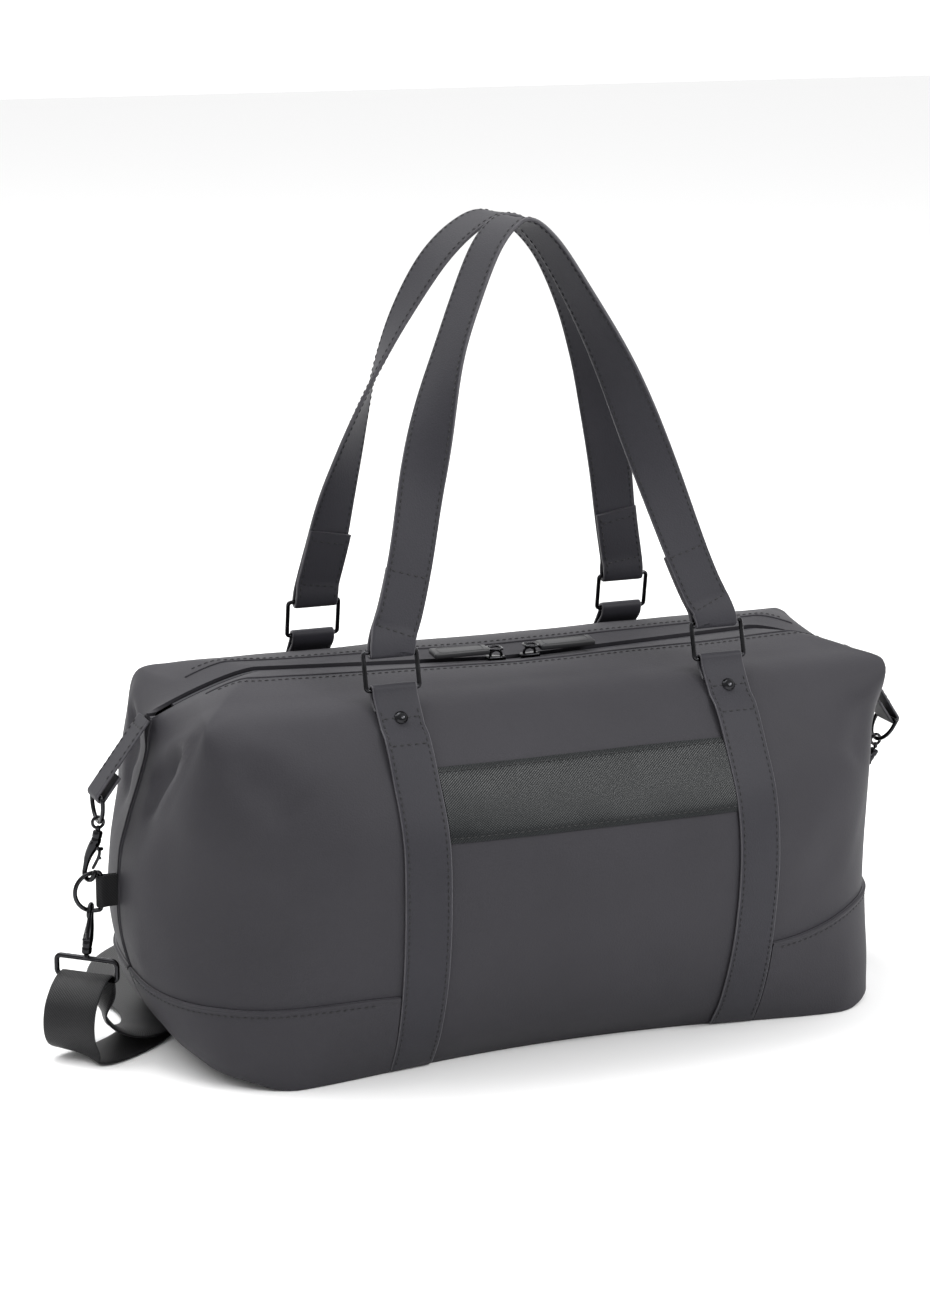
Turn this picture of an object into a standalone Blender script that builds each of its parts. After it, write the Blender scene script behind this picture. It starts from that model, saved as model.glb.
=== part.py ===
"""Weekender bag: soft shell with a top zip, two long handles on wire rings, and a clip-on shoulder strap.

Metres, +Z up. X runs along the bag, the front faces -Y, and the origin is the middle of the base.
"""

import math

import bmesh
import bpy
import numpy as np
from mathutils import Matrix, Vector

# ---------------------------------------------------------------- driving dimensions
GAP = 0.0003  # between pieces that touch
SHELL_T = 0.003  # padded coated fabric of the shell
STRAP_T = 0.002
STRAP_W = 0.031
STRAP_X = 0.118  # from the middle of the bag to each vertical strap
BAND_T = 0.0015
BAND_LOW, BAND_HIGH = 0.164, 0.208
HANDLE_T = 0.0028
HANDLE_W = 0.031
HANDLE_TOP = 0.5465
HANDLE_FOOT = 0.117  # where each end of a handle hangs in its ring
HANDLE_HALF = {  # half of each handle's centre line, as distances from the middle and heights
    "front": ((0.1145, 0.2880), (0.1078, 0.3030), (0.0975, 0.3340), (0.0820, 0.3880), (0.0630, 0.4460),
              (0.0420, 0.4930), (0.0200, 0.5320), (0.0, HANDLE_TOP)),
    "back": ((0.1160, 0.2900), (0.1100, 0.3180), (0.1015, 0.3620), (0.0890, 0.4120), (0.0790, 0.4440),
             (0.0640, 0.4800), (0.0430, 0.5160), (0.0210, 0.5380), (0.0, HANDLE_TOP)),
}
WIRE_R = 0.0015  # handle rings, end rings and side rings
RING_HALF_W, RING_HALF_H, RING_CORNER = 0.0185, 0.0125, 0.0022
RING_Y, RING_Z = 0.0825, 0.2535  # the ring bar that lies in the strap's fold
RIVET_SPAN = ((-0.1003, 0.2322), (-0.0925, 0.2420))  # the straight part of the strap under each rivet
LEAN = {"front": 0.2815, "back": 0.155}  # how far each handle leans in, per metre of height
ZIP_HALF = 0.0065  # from the zip's middle to the shell's edge
ZIP_RISE = {-1: 0.049, 1: 0.031}  # slope of the zip line on the left and on the right
ZIP_MID = 0.2452
SLIDER_X = 0.0125  # where each closed slider stands
SLIDE = 0.16  # how far a slider opens
WEB_W, WEB_T = 0.038, 0.0015  # shoulder webbing
WING = (0.2465, 0.078, 0.239)  # the corner at each end of each shoulder
ZIP_END = (0.2625, 0.0015, 0.203)  # where the shoulders meet at each end
# Top of a corner panel at the strap and at the bag's end.
CORNER_HIGH = {-1: (0.0615, 0.0560), 1: (0.0660, 0.0820)}
END_TAB_W = 0.023
TAB_TOP = (0.2612, 0.2262)
# The end hardware, on the left (-1) and on the right (1), as distances out from the middle and heights.
END_BAR = {-1: (0.2970, 0.1785), 1: (0.2955, 0.1745)}  # the end ring's bar, in the tab's fold
END_RING_TILT = {-1: 0.0, 1: math.radians(30)}  # how far each end ring is drawn towards the bag
END_RING_DROP = 0.0186
SIDE_BAR = {-1: 0.2965, 1: 0.2590}  # the side ring's upright bar
SIDE_Z = {-1: 0.1112, 1: 0.11415}  # the middle of each side ring
SIDE_HOLD = {-1: (0.0075, 0.01283), 1: (0.0085, 0.01255)}  # from that middle to where the hooks hold it
SIDE_HALF = 0.0132
EYE_R, EYE_WIRE = 0.0038, 0.0011
EYE_DROP = {-1: 0.0065, 1: 0.0081}  # from the end ring's bow to the hook's barrel
HOOK_REACH = 0.0302  # from a snap hook's barrel to the wire it holds
HOOK_YAW = math.radians(25)
HOOK_BOW, HOOK_BOW_R = 0.0293, 0.0049  # the middle and the radius of the hook's bow
LOOP_X = {-1: 0.3075, 1: 0.2695}  # where each shoulder strap loop hangs
LOOP_YAW = {-1: math.radians(42), 1: math.radians(66)}
LOOP_HALF_W, LOOP_HALF_H, LOOP_WIRE, LOOP_CORNER = 0.0225, 0.0068, 0.0018, 0.0035
FOOT_LIFT = 0.006  # how far the soft ends of the bag stand off the floor
ADJUSTER = (-0.085, 0.170, 0.0066)
ADJUSTER_HALF, ADJUSTER_W, ADJUSTER_WIRE = 0.014, 0.0215, 0.0014

# One row for each height of the shell: height, half depth, how far the middle of the foot is pulled
# in, squareness, how far the corner fold is from the middle plane, and the corner and end reach for
# the left and the right, with a squareness of its own where it has one. Above the side rings the
# corner fold climbs outwards to the wing.
ROWS = (
    (0.000, 0.128, 0.028, 6.0, 0.045, (None, 0.2445), (None, 0.2370)),
    (0.030, 0.138, 0.014, 4.0, 0.045, (None, 0.2670), (None, 0.2395, 4.6)),
    (0.080, 0.149, 0.003, 2.8, 0.040, (None, 0.2830), (None, 0.2415, 3.5)),
    (0.130, 0.153, 0.000, 2.6, 0.032, (None, 0.2830), (None, 0.2430, 3.4)),
    (0.170, 0.146, 0.000, 2.8, 0.038, (0.2675, 0.2770), (0.2400, 0.2420, 3.2)),
    (0.207, 0.121, 0.000, 3.4, 0.058, (0.2570, 0.2690), (0.2420, 0.2500, 3.4)),
    (0.238, 0.0895, 0.000, 5.0, WING[1], (WING[0], ZIP_END[0]), (WING[0], ZIP_END[0])),
)
END_HEIGHTS = (0.000, 0.030, 0.080, 0.130, 0.157, 0.181, ZIP_END[2])
TOP_ROWS = (0.33, 0.68, 1.0)  # shares of the way from the shoulder to the zip
FRONT_COLS, END_COLS = 10, 3
CORNER_ROWS = 6

COLORS = {
    "shell": ((0.062, 0.060, 0.066), 0.62, 0.0),
    "strap": ((0.055, 0.053, 0.060), 0.55, 0.0),
    "webbing": ((0.020, 0.020, 0.022), 0.45, 0.0),
    "metal": ((0.045, 0.045, 0.048), 0.22, 1.0),
    "board": ((0.030, 0.030, 0.032), 0.80, 0.0),
    "lining": ((0.035, 0.035, 0.038), 0.70, 0.0),
    "rubber": ((0.070, 0.070, 0.072), 0.60, 0.0),
}


# ---------------------------------------------------------------- Blender helpers
def clear():
    for obj in list(bpy.data.objects):
        bpy.data.objects.remove(obj, do_unlink=True)


def finish(obj, finish_name, pivot=None):
    color, rough, metal = COLORS[finish_name]
    mat = bpy.data.materials.new(obj.name)
    mat.use_nodes = True
    shader = mat.node_tree.nodes["Principled BSDF"]
    shader.inputs["Base Color"].default_value = (*color, 1.0)
    shader.inputs["Roughness"].default_value = rough
    shader.inputs["Metallic"].default_value = metal
    obj.data.materials.append(mat)
    bpy.context.scene.collection.objects.link(obj)
    if pivot is not None:
        set_pivot(obj, pivot)
    return obj


def set_pivot(obj, pivot):
    """Moves the object's origin to its joint, leaving its shape where it is."""
    shift = Matrix.Translation(-Vector(pivot))
    obj.data.transform(shift)
    obj.location = pivot


def applied(obj):
    """The object's final shape as a new mesh."""
    bpy.context.view_layer.update()
    graph = bpy.context.evaluated_depsgraph_get()
    return bpy.data.meshes.new_from_object(obj.evaluated_get(graph))


def mesh_object(name, verts, faces, finish_name, pivot=None, smooth=True):
    mesh = bpy.data.meshes.new(name)
    mesh.from_pydata([tuple(v) for v in verts], [], faces)
    work = bmesh.new()
    work.from_mesh(mesh)
    bmesh.ops.remove_doubles(work, verts=work.verts, dist=1e-6)
    bmesh.ops.recalc_face_normals(work, faces=work.faces)
    work.to_mesh(mesh)
    work.free()
    if smooth:
        mesh.shade_smooth()
        mesh.set_sharp_from_angle(angle=math.radians(40))
    return finish(bpy.data.objects.new(name, mesh), finish_name, pivot)


def grid_faces(rows, cols, closed_cols=False):
    faces = []
    for i in range(rows - 1):
        for j in range(cols if closed_cols else cols - 1):
            k = (j + 1) % cols
            faces.append((i * cols + j, i * cols + k, (i + 1) * cols + k, (i + 1) * cols + j))
    return faces


def sheet_solid(name, inner, outer, finish_name, pivot=None):
    """A closed solid between two grids of points of the same shape."""
    rows, cols = inner.shape[:2]
    count = rows * cols
    faces = [tuple(reversed(f)) for f in grid_faces(rows, cols)]
    faces += [tuple(v + count for v in f) for f in grid_faces(rows, cols)]
    rim = [(0, j) for j in range(cols)] + [(i, cols - 1) for i in range(1, rows)]
    rim += [(rows - 1, j) for j in range(cols - 2, -1, -1)] + [(i, 0) for i in range(rows - 2, 0, -1)]
    flat = [i * cols + j for i, j in rim]
    for a, b in zip(flat, flat[1:] + flat[:1]):
        faces.append((a, b, b + count, a + count))
    verts = np.concatenate([inner.reshape(-1, 3), outer.reshape(-1, 3)])
    return mesh_object(name, verts, faces, finish_name, pivot)


def wire(name, points, radius, finish_name="metal", closed=False, pivot=None, radii=None, sides=1):
    """A round bar along a line of points."""
    curve = bpy.data.curves.new(name, "CURVE")
    curve.dimensions = "3D"
    curve.bevel_depth = radius
    curve.bevel_resolution = sides
    curve.use_fill_caps = not closed
    spline = curve.splines.new("POLY")
    spline.points.add(len(points) - 1)
    for i, point in enumerate(points):
        spline.points[i].co = (*point, 1.0)
        spline.points[i].radius = 1.0 if radii is None else radii[i] / radius
    spline.use_cyclic_u = closed
    shape = bpy.data.objects.new(name, curve)
    bpy.context.scene.collection.objects.link(shape)
    mesh = applied(shape)
    bpy.data.objects.remove(shape, do_unlink=True)
    mesh.shade_smooth()
    return finish(bpy.data.objects.new(name, mesh), finish_name, pivot)


def block(name, size, place, finish_name, bevel=0.0, turn=None, pivot=None):
    """A box with rounded edges, turned about its own middle and then placed."""
    work = bmesh.new()
    bmesh.ops.create_cube(work, size=1.0)
    for v in work.verts:
        v.co = Vector(v.co[i] * size[i] for i in range(3))
    if bevel:
        bmesh.ops.bevel(work, geom=work.edges[:], offset=bevel, segments=2, affect="EDGES", profile=0.5)
    if turn is not None:
        bmesh.ops.transform(work, matrix=turn, verts=work.verts)
    bmesh.ops.translate(work, vec=Vector(place), verts=work.verts)
    mesh = bpy.data.meshes.new(name)
    work.to_mesh(mesh)
    work.free()
    return finish(bpy.data.objects.new(name, mesh), finish_name, pivot)


def turned(name, profile, place, axis, finish_name, steps=14):
    """A turned solid: profile is (radius, height) from the bottom middle to the top middle."""
    frame = Vector((0, 0, 1)).rotation_difference(Vector(axis)).to_matrix()
    verts, rings = [], []
    for radius, height in profile:
        if radius == 0:
            rings.append([len(verts)])
            verts.append(Vector((0, 0, height)))
            continue
        rings.append(list(range(len(verts), len(verts) + steps)))
        for k in range(steps):
            angle = math.tau * k / steps
            verts.append(Vector((radius * math.cos(angle), radius * math.sin(angle), height)))
    faces = []
    for low, high in zip(rings, rings[1:]):
        for k in range(steps):
            a, b = low[k % len(low)], low[(k + 1) % len(low)]
            c, d = high[(k + 1) % len(high)], high[k % len(high)]
            face = list(dict.fromkeys((a, b, c, d)))
            if len(face) > 2:
                faces.append(tuple(face))
    verts = [frame @ v + Vector(place) for v in verts]
    return mesh_object(name, verts, faces, finish_name)


def join(keep, *others):
    """Boolean union of the others into keep. The union is applied, and the others are removed."""
    for other in others:
        mod = keep.modifiers.new("union", "BOOLEAN")
        mod.operation = "UNION"
        mod.solver = "EXACT"
        mod.object = other
    mesh = applied(keep)
    name, place = keep.name, keep.matrix_world.copy()
    material = keep.data.materials[0]
    for obj in (keep, *others):
        bpy.data.objects.remove(obj, do_unlink=True)
    mesh.materials.clear()
    mesh.materials.append(material)
    obj = bpy.data.objects.new(name, mesh)
    obj.matrix_world = place
    bpy.context.scene.collection.objects.link(obj)
    return obj


# ---------------------------------------------------------------- lines and curves
def smooth_line(points, per_span):
    """A Catmull-Rom curve through the points."""
    p = np.array(points, float)
    ends = np.concatenate([[2 * p[0] - p[1]], p, [2 * p[-1] - p[-2]]])
    out = []
    for a, b, c, d in zip(ends, ends[1:], ends[2:], ends[3:]):
        for k in range(per_span):
            t = k / per_span
            out.append(0.5 * (2 * b + (c - a) * t + (2 * a - 5 * b + 4 * c - d) * t**2
                              + (3 * b - a - 3 * c + d) * t**3))
    return np.array(out + [p[-1]])


def arc(centre, radius, start, end, steps):
    """Points of a circular arc, in degrees, as pairs."""
    angles = np.radians(np.linspace(start, end, steps))
    return np.stack([centre[0] + radius * np.cos(angles), centre[1] + radius * np.sin(angles)], 1)


def rounded_box_line(half_w, half_h, corner, steps=4):
    """A rectangle with round corners about the origin, as pairs."""
    corners = ((1, 1, 0), (-1, 1, 90), (-1, -1, 180), (1, -1, 270))
    lines = [arc((sx * (half_w - corner), sy * (half_h - corner)), corner, a, a + 90, steps)
             for sx, sy, a in corners]
    return np.concatenate(lines)


def smooth_step(value, low, high):
    t = np.clip((value - low) / (high - low), 0, 1)
    return t * t * (3 - 2 * t)


def blend_rows(keys, per_span):
    """Rows of points between the key rows, smooth from row to row."""
    return smooth_line(keys.reshape(len(keys), -1), per_span).reshape(-1, *keys.shape[1:])


# ---------------------------------------------------------------- the shell's surface
def half_row(row, end_z, side, front_cols, end_cols):
    """Points from the middle of the front to the bag's end at one height."""
    z, depth, pull, square, fold_y, left, right = row
    fold_x, reach, *own = left if side < 0 else right
    square = own[0] if own else square
    if fold_x is None:
        box_x, box_y = reach, 0.0
        fold_x = reach * (1 - (fold_y / depth) ** square) ** (1 / square)
    else:
        box_x, box_y = fold_x, fold_y
    points = []
    for x, y in even_columns(box_x, depth - box_y, square, fold_x, fold_y - box_y, front_cols):
        y += box_y - pull * max(0.0, 1 - (x / 0.2) ** 2)
        points.append((side * x, -y, z))
    for k in range(1, end_cols + 1):
        t = k / end_cols
        if box_y:
            x, y = fold_x + (reach - fold_x) * t, fold_y * (1 - t) + ZIP_END[1] * t
        else:
            y = fold_y * (1 - t) + ZIP_END[1] * t
            x = reach * (1 - (y / depth) ** square) ** (1 / square)
        points.append((side * x, -y, z + (end_z - z) * t))
    if z == 0:
        points = [(x, y, foot_lift(x)) for x, y, _ in points]
    return points


def foot_lift(x):
    """The soft ends of the bag curl up off the floor, past its stiff base."""
    return FOOT_LIFT * float(smooth_step(abs(x), 0.205, 0.235))


def even_columns(reach, depth, square, fold_x, fold_y, count):
    """Points of a superellipse from its middle to the fold, closer together where it turns."""
    share = np.linspace(0, 1, 400)
    flat = np.stack([reach * share, depth * (1 - share**square) ** (1 / square)], 1)
    steep = np.stack([reach * (1 - share**square) ** (1 / square), depth * share], 1)
    line = np.concatenate([flat, steep])
    line = line[np.lexsort((-line[:, 1], line[:, 0]))]
    line = line[(line[:, 0] <= fold_x) & (line[:, 1] >= fold_y)]
    line = np.concatenate([line, [(fold_x, fold_y)]])
    step = np.diff(line, axis=0)
    length = np.hypot(step[:, 0], step[:, 1])
    line, step, length = line[:-1][length > 1e-9], step[length > 1e-9], length[length > 1e-9]
    angle = np.unwrap(np.arctan2(step[:, 1], step[:, 0]))
    turn = np.abs(np.diff(angle, prepend=angle[0]))
    weight = np.cumsum(length / length.sum() + 0.9 * turn / max(turn.sum(), 1e-6))
    weight = np.concatenate([[0], weight]) / weight[-1]
    line = np.concatenate([line, [(fold_x, fold_y)]])
    at = np.linspace(0, 1, count + 1)
    return np.stack([np.interp(at, weight, line[:, 0]), np.interp(at, weight, line[:, 1])], 1)


def zip_height(x):
    """Height of the zip line: it rises from the middle and drops at the ends."""
    side = -1 if x < 0 else 1
    ax = abs(x)
    top = ZIP_MID + ZIP_RISE[side] * (math.sqrt(ax**2 + 0.01**2) - 0.01)
    drop = 0.0 if ax < 0.185 else (ax - 0.185) ** 1.35 * (0.95 if side < 0 else 0.86)
    return top - drop


def shell_front(per_span=2, front_cols=FRONT_COLS, end_cols=END_COLS):
    """Grid of the front panel's outer surface, from the base to the zip, left end to right end."""
    keys = []
    for row, end_z in zip(ROWS, END_HEIGHTS):
        left = half_row(row, end_z, -1, front_cols, end_cols)
        right = half_row(row, end_z, 1, front_cols, end_cols)
        keys.append(left[::-1] + right[1:])
    shoulder = keys[-1]
    middle = front_cols + end_cols
    for share in TOP_ROWS:
        row = []
        for k, (x, y, z) in enumerate(shoulder):
            out = abs(k - middle)
            side = -1 if k < middle else 1
            t = min(1.0, out / front_cols)
            zip_x = 0.232 * t + 0.0285 * max(0, out - front_cols) / end_cols
            zip_z = zip_height(side * zip_x)
            crown = 0.006 * 4 * share * (1 - share) * (1 - 0.5 * t)
            row.append((x + (side * zip_x - x) * share, y + (-ZIP_HALF - y) * share,
                        z + (zip_z - z) * (1 - (1 - share) ** 1.6 if out <= front_cols else share) + crown))
        keys.append(row)
    return blend_rows(np.array(keys), per_span)


def normals_of(grid):
    """Unit normals of a grid, pointing out of the bag at the front."""
    along = np.gradient(grid, axis=1)
    up = np.gradient(grid, axis=0)
    n = np.cross(along, up)
    return n / np.linalg.norm(n, axis=2, keepdims=True)


def offset(grid, distance):
    """The grid moved out along its normals, kept on its own side of the bag's middle plane."""
    moved = grid + normals_of(grid) * distance
    moved[:, :, 1] = np.minimum(moved[:, :, 1], -0.0008)
    return moved


def mirrored(grid):
    """The back's copy of a front grid, with its columns turned round so that it still faces out."""
    return grid[:, ::-1] * np.array([1, -1, 1])


def on_face(grid, face):
    return grid if face == "front" else mirrored(grid)


def profile_at(surface, x):
    """The surface's height line at one place along the bag, as points."""
    return np.array([[x, np.interp(x, row[:, 0], row[:, 1]), np.interp(x, row[:, 0], row[:, 2])]
                     for row in surface])


def point_at(surface, x, z):
    line = profile_at(surface, x)
    below = line[: np.argmax(line[:, 2]) + 1]
    return np.array([x, np.interp(z, below[:, 2], below[:, 1]), z])


# ---------------------------------------------------------------- shell pieces
def panels(surface):
    for face in ("front", "back"):
        inner = offset(surface, -SHELL_T)
        inner[:, :, 2] = np.maximum(inner[:, :, 2], surface[:, :, 2] * 0 + GAP)
        outer = surface.copy()
        inner[0, :, 2] = outer[0, :, 2]
        sheet_solid(f"{face}_panel", on_face(inner, face), on_face(outer, face), "shell")


def base_plate(name, inset, reach, low, high, finish_name):
    """A plate inside the panels' feet. It follows their lift at the ends."""
    row = np.array(half_row(ROWS[0], 0.0, -1, 14, 3)[::-1] + half_row(ROWS[0], 0.0, 1, 14, 3)[1:])
    along = np.gradient(row[:, :2], axis=0)
    along /= np.linalg.norm(along, axis=1, keepdims=True)
    row[:, :2] += np.stack([-along[:, 1], along[:, 0]], 1) * inset
    row = row[(np.abs(row[:, 0]) <= reach) & (row[:, 1] < -0.03)]
    keep = np.concatenate([[True], np.diff(row[:, 0]) > 1e-4])
    row = row[keep]
    back = row * (1, -1, 1)
    grid = np.array([row, (row + back) / 2, back])
    grid[:, :, 2] = [[foot_lift(x) if abs(x) > 0.2 else 0.0 for x in row[:, 0]]] * 3
    sheet_solid(name, grid + (0, 0, low), grid + (0, 0, high), finish_name)


def base_parts():
    base_plate("base_panel", 0.0062, 0.24, 0.0, 0.003, "shell")
    base_plate("base_stiffener", 0.0140, 0.212, 0.0034, 0.0058, "board")


def lining():
    """A thin inner bag, open along the zip: the shell's shape drawn in on all sides."""
    coarse = shell_front(1, 6, 2)
    shrink = np.array([0.962, 0.935, 0.90])
    middle = np.array([0.0, 0.0, 0.130])
    loops = np.concatenate([coarse, mirrored(coarse)], axis=1)
    outer = (loops - middle) * shrink + middle
    inner = (loops - middle) * (shrink - 0.016) + middle
    rows, cols = outer.shape[:2]
    count = rows * cols
    faces = grid_faces(rows, cols, True)
    faces += [tuple(v + count for v in reversed(f)) for f in grid_faces(rows, cols, True)]
    top = (rows - 1) * cols
    faces += [(top + j, top + (j + 1) % cols, top + (j + 1) % cols + count, top + j + count)
              for j in range(cols)]
    faces += [tuple(range(cols))[::-1], tuple(range(count, count + cols))]
    verts = np.concatenate([outer.reshape(-1, 3), inner.reshape(-1, 3)])
    mesh_object("lining", verts, faces, "lining")


def corner_panels(surface):
    """A second layer over each lower corner, from the strap round to the bag's end seam."""
    edge = STRAP_X + STRAP_W / 2 + 0.001
    for side, name in ((-1, "left"), (1, "right")):
        cols = [j for j in range(surface.shape[1]) if (side * surface[:8, j, 0] > edge + 0.004).all()]
        if side < 0:
            cols = cols[::-1]
        lines = [profile_at(surface, side * edge)] + [surface[:, j] for j in cols]
        grid = []
        for line in lines:
            reach = smooth_step(abs(line[4, 0]), edge, 0.238)
            high = CORNER_HIGH[side][0] + (CORNER_HIGH[side][1] - CORNER_HIGH[side][0]) * reach
            part = line[: 1 + np.argmax(line[:, 2] > high)]
            heights = np.concatenate([[part[0, 2] + 0.0006], part[1:-1, 2][: CORNER_ROWS], [high]])
            grid.append(np.stack([np.interp(heights, part[:, 2], part[:, k]) for k in range(3)], 1))
        fewest = min(len(line) for line in grid)
        grid = np.array([np.concatenate([line[: fewest - 1], line[-1:]]) for line in grid]).transpose(1, 0, 2)
        if side < 0:
            grid = grid[:, ::-1]
        inner, outer = offset(grid, 0.0023), offset(grid, 0.0038)
        inner[0, :, 2] = outer[0, :, 2] = grid[0, :, 2]
        for face in ("front", "back"):
            sheet_solid(f"corner_panel_{face}_{name}", on_face(inner, face), on_face(outer, face), "shell")


def zip_parts():
    """Two tapes under the shell's top edges, and the closed teeth between them."""
    xs = np.linspace(-0.243, 0.243, 23)
    line = np.array([(x, 0.0, zip_height(x)) for x in xs])

    def strip(name, y_low, y_high, z_low, z_high, finish_name):
        low = np.array([line + (0, y_low, z_low), line + (0, y_high, z_low)])
        high = np.array([line + (0, y_low, z_high), line + (0, y_high, z_high)])
        sheet_solid(name, low, high, finish_name)

    strip("zip_tape_front", -0.0125, -0.0019, -0.0052, -0.0042, "webbing")
    strip("zip_tape_back", 0.0019, 0.0125, -0.0052, -0.0042, "webbing")
    strip("zip_teeth", -0.0015, 0.0015, -0.0052, -0.0034, "webbing")


# ---------------------------------------------------------------- straps, band and rivets
def strap_path(surface, x):
    """Centre line of a strap at one place across its width: up the face, round the ring bar, back down."""
    line = profile_at(surface, x)
    slope = np.gradient(line[:, 1:], axis=0)
    out = np.stack([-slope[:, 1], slope[:, 0]], 1)
    out = -out * np.sign(out[:, :1] + 1e-12) / np.linalg.norm(out, axis=1, keepdims=True)
    low = np.argmax(line[:, 2] > 0.226)
    lift = 0.0018 + STRAP_T / 2 - 0.0007 * smooth_step(line[:low, 2], 0.08, 0.12)
    lift += 0.0021 * smooth_step(line[:low, 2], 0.19, 0.224)
    outside = line[:low, 1:] + out[:low] * lift[:, None]
    outside[0] = (outside[0][0], 0.0012)
    wrap = WIRE_R + 0.00035 + STRAP_T / 2
    bend = arc((-RING_Y, RING_Z), wrap, 170, 0, 7)
    up = np.array([RIVET_SPAN[0], RIVET_SPAN[1], (-0.0866, 0.2500)])
    down = np.array([(-0.0803, 0.2500), (-0.0835, 0.2455), (-0.0886, 0.2409)])
    path = np.concatenate([outside, up, bend, down])
    return np.concatenate([np.full((len(path), 1), x), path], 1)


def ribbon(name, left, right, thickness, finish_name, pivot=None):
    """A flat band between two edge lines, with its thickness across them."""
    rows = np.array([left, (left + right) / 2, right]).transpose(1, 0, 2)
    along = np.gradient(rows, axis=0)
    across = np.broadcast_to((right - left)[:, None], rows.shape)
    n = np.cross(across, along)
    n /= np.linalg.norm(n, axis=2, keepdims=True)
    return sheet_solid(name, rows - n * thickness / 2, rows + n * thickness / 2, finish_name, pivot)


def straps(surface):
    for side, name in ((-1, "left"), (1, "right")):
        left = strap_path(surface, side * STRAP_X - STRAP_W / 2)
        right = strap_path(surface, side * STRAP_X + STRAP_W / 2)
        for face in ("front", "back"):
            flip = np.array([1, 1 if face == "front" else -1, 1])
            ribbon(f"strap_{face}_{name}", left * flip, right * flip, STRAP_T, "strap")
            low, high = np.array(RIVET_SPAN)
            along = (high - low) / np.linalg.norm(high - low)
            out = np.array([-along[1], along[0]])
            y, z = (low + high) / 2 + out * (STRAP_T / 2 + GAP)
            head = ((0, 0), (0.0042, 0), (0.0042, 0.0006), (0.0034, 0.0018), (0.0018, 0.0025), (0, 0.0027))
            place, axis = (side * STRAP_X, y * flip[1], z), (0, out[0] * flip[1], out[1])
            turned(f"rivet_{face}_{name}", head, place, axis, "metal")


def band(surface):
    """The webbing band across the front, with its ends against the straps."""
    half = STRAP_X - STRAP_W / 2 - 0.0004
    xs = np.linspace(-half, half, 13)
    rows = surface[:, surface.shape[1] // 2, 2]
    inside = rows[(rows > BAND_LOW + 0.004) & (rows < BAND_HIGH - 0.004)]
    zs = np.concatenate([[BAND_LOW], inside, [BAND_HIGH]])
    grid = np.array([[point_at(surface, x, z) for x in xs] for z in zs])
    sheet_solid("front_band", offset(grid, 0.0006), offset(grid, 0.0006 + BAND_T), "webbing")


# ---------------------------------------------------------------- handles and their rings
def handle_rings():
    for face in ("front", "back"):
        sign = -1 if face == "front" else 1
        lean = math.atan(LEAN[face])
        for side, name in ((-1, "left"), (1, "right")):
            pivot = (side * STRAP_X, sign * RING_Y, RING_Z)
            line = rounded_box_line(RING_HALF_W, RING_HALF_H, RING_CORNER)
            points = [(pivot[0] + u, pivot[1] - sign * math.sin(lean) * (v + RING_HALF_H),
                       pivot[2] + math.cos(lean) * (v + RING_HALF_H)) for u, v in line]
            wire(f"handle_ring_{face}_{name}", points, WIRE_R, closed=True, pivot=pivot)


def ring_top(face):
    """Where the handle's pivot bar lies, as (y, z)."""
    sign = -1 if face == "front" else 1
    lean = math.atan(LEAN[face])
    drop = 2 * RING_HALF_H
    return sign * (RING_Y - math.sin(lean) * drop), RING_Z + math.cos(lean) * drop


def handle_line(face, steps=9):
    """One handle's centre line from the left ring to the right, and the turn of its width at each point."""
    y0, z0 = ring_top(face)
    sign = -1 if face == "front" else 1
    lean = LEAN[face]
    half = HANDLE_HALF[face]
    shape = [(-x, z) for x, z in half] + [(x, z) for x, z in half[-2::-1]]
    xz = smooth_line(shape, 3)
    y = y0 - sign * lean * (xz[:, 1] - z0)
    line = np.stack([xz[:, 0], y, xz[:, 1]], 1)
    x, z = line[:, 0], line[:, 2]
    left, right = x <= 0, x > 0
    turn = np.zeros(len(line))
    if face == "front":
        turn[left] = 90 - 72 * smooth_step(z[left], 0.355, 0.475)
        turn[right] = 90 - 72 * smooth_step(z[right], 0.300, 0.530)
    else:
        turn[left] = -90 + 110 * smooth_step(z[left], 0.290, 0.540)
        turn[right] = 90 - 70 * smooth_step(z[right], 0.300, 0.540)
    return line, np.radians(turn)


def handle_stand(rise, wrap):
    """How far a handle and its tail stand off the middle, by the height above the ring's bar."""
    doubled = (HANDLE_T + GAP) / 2
    near = wrap + (doubled - wrap) * smooth_step(rise, 0.004, 0.016)
    return near * (1 - smooth_step(rise, 0.055, 0.11))


def handle_end(face):
    """The ring's upper bar as (y, z), the band's outward direction and the loop's radius."""
    y0, z0 = ring_top(face)
    sign = -1 if face == "front" else 1
    up = np.array([-sign * LEAN[face], 1.0])
    up /= np.linalg.norm(up)
    out = np.array([up[1] * sign, -up[0] * sign])
    return np.array([y0, z0]), up, out, WIRE_R + 0.00035 + HANDLE_T / 2


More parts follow.
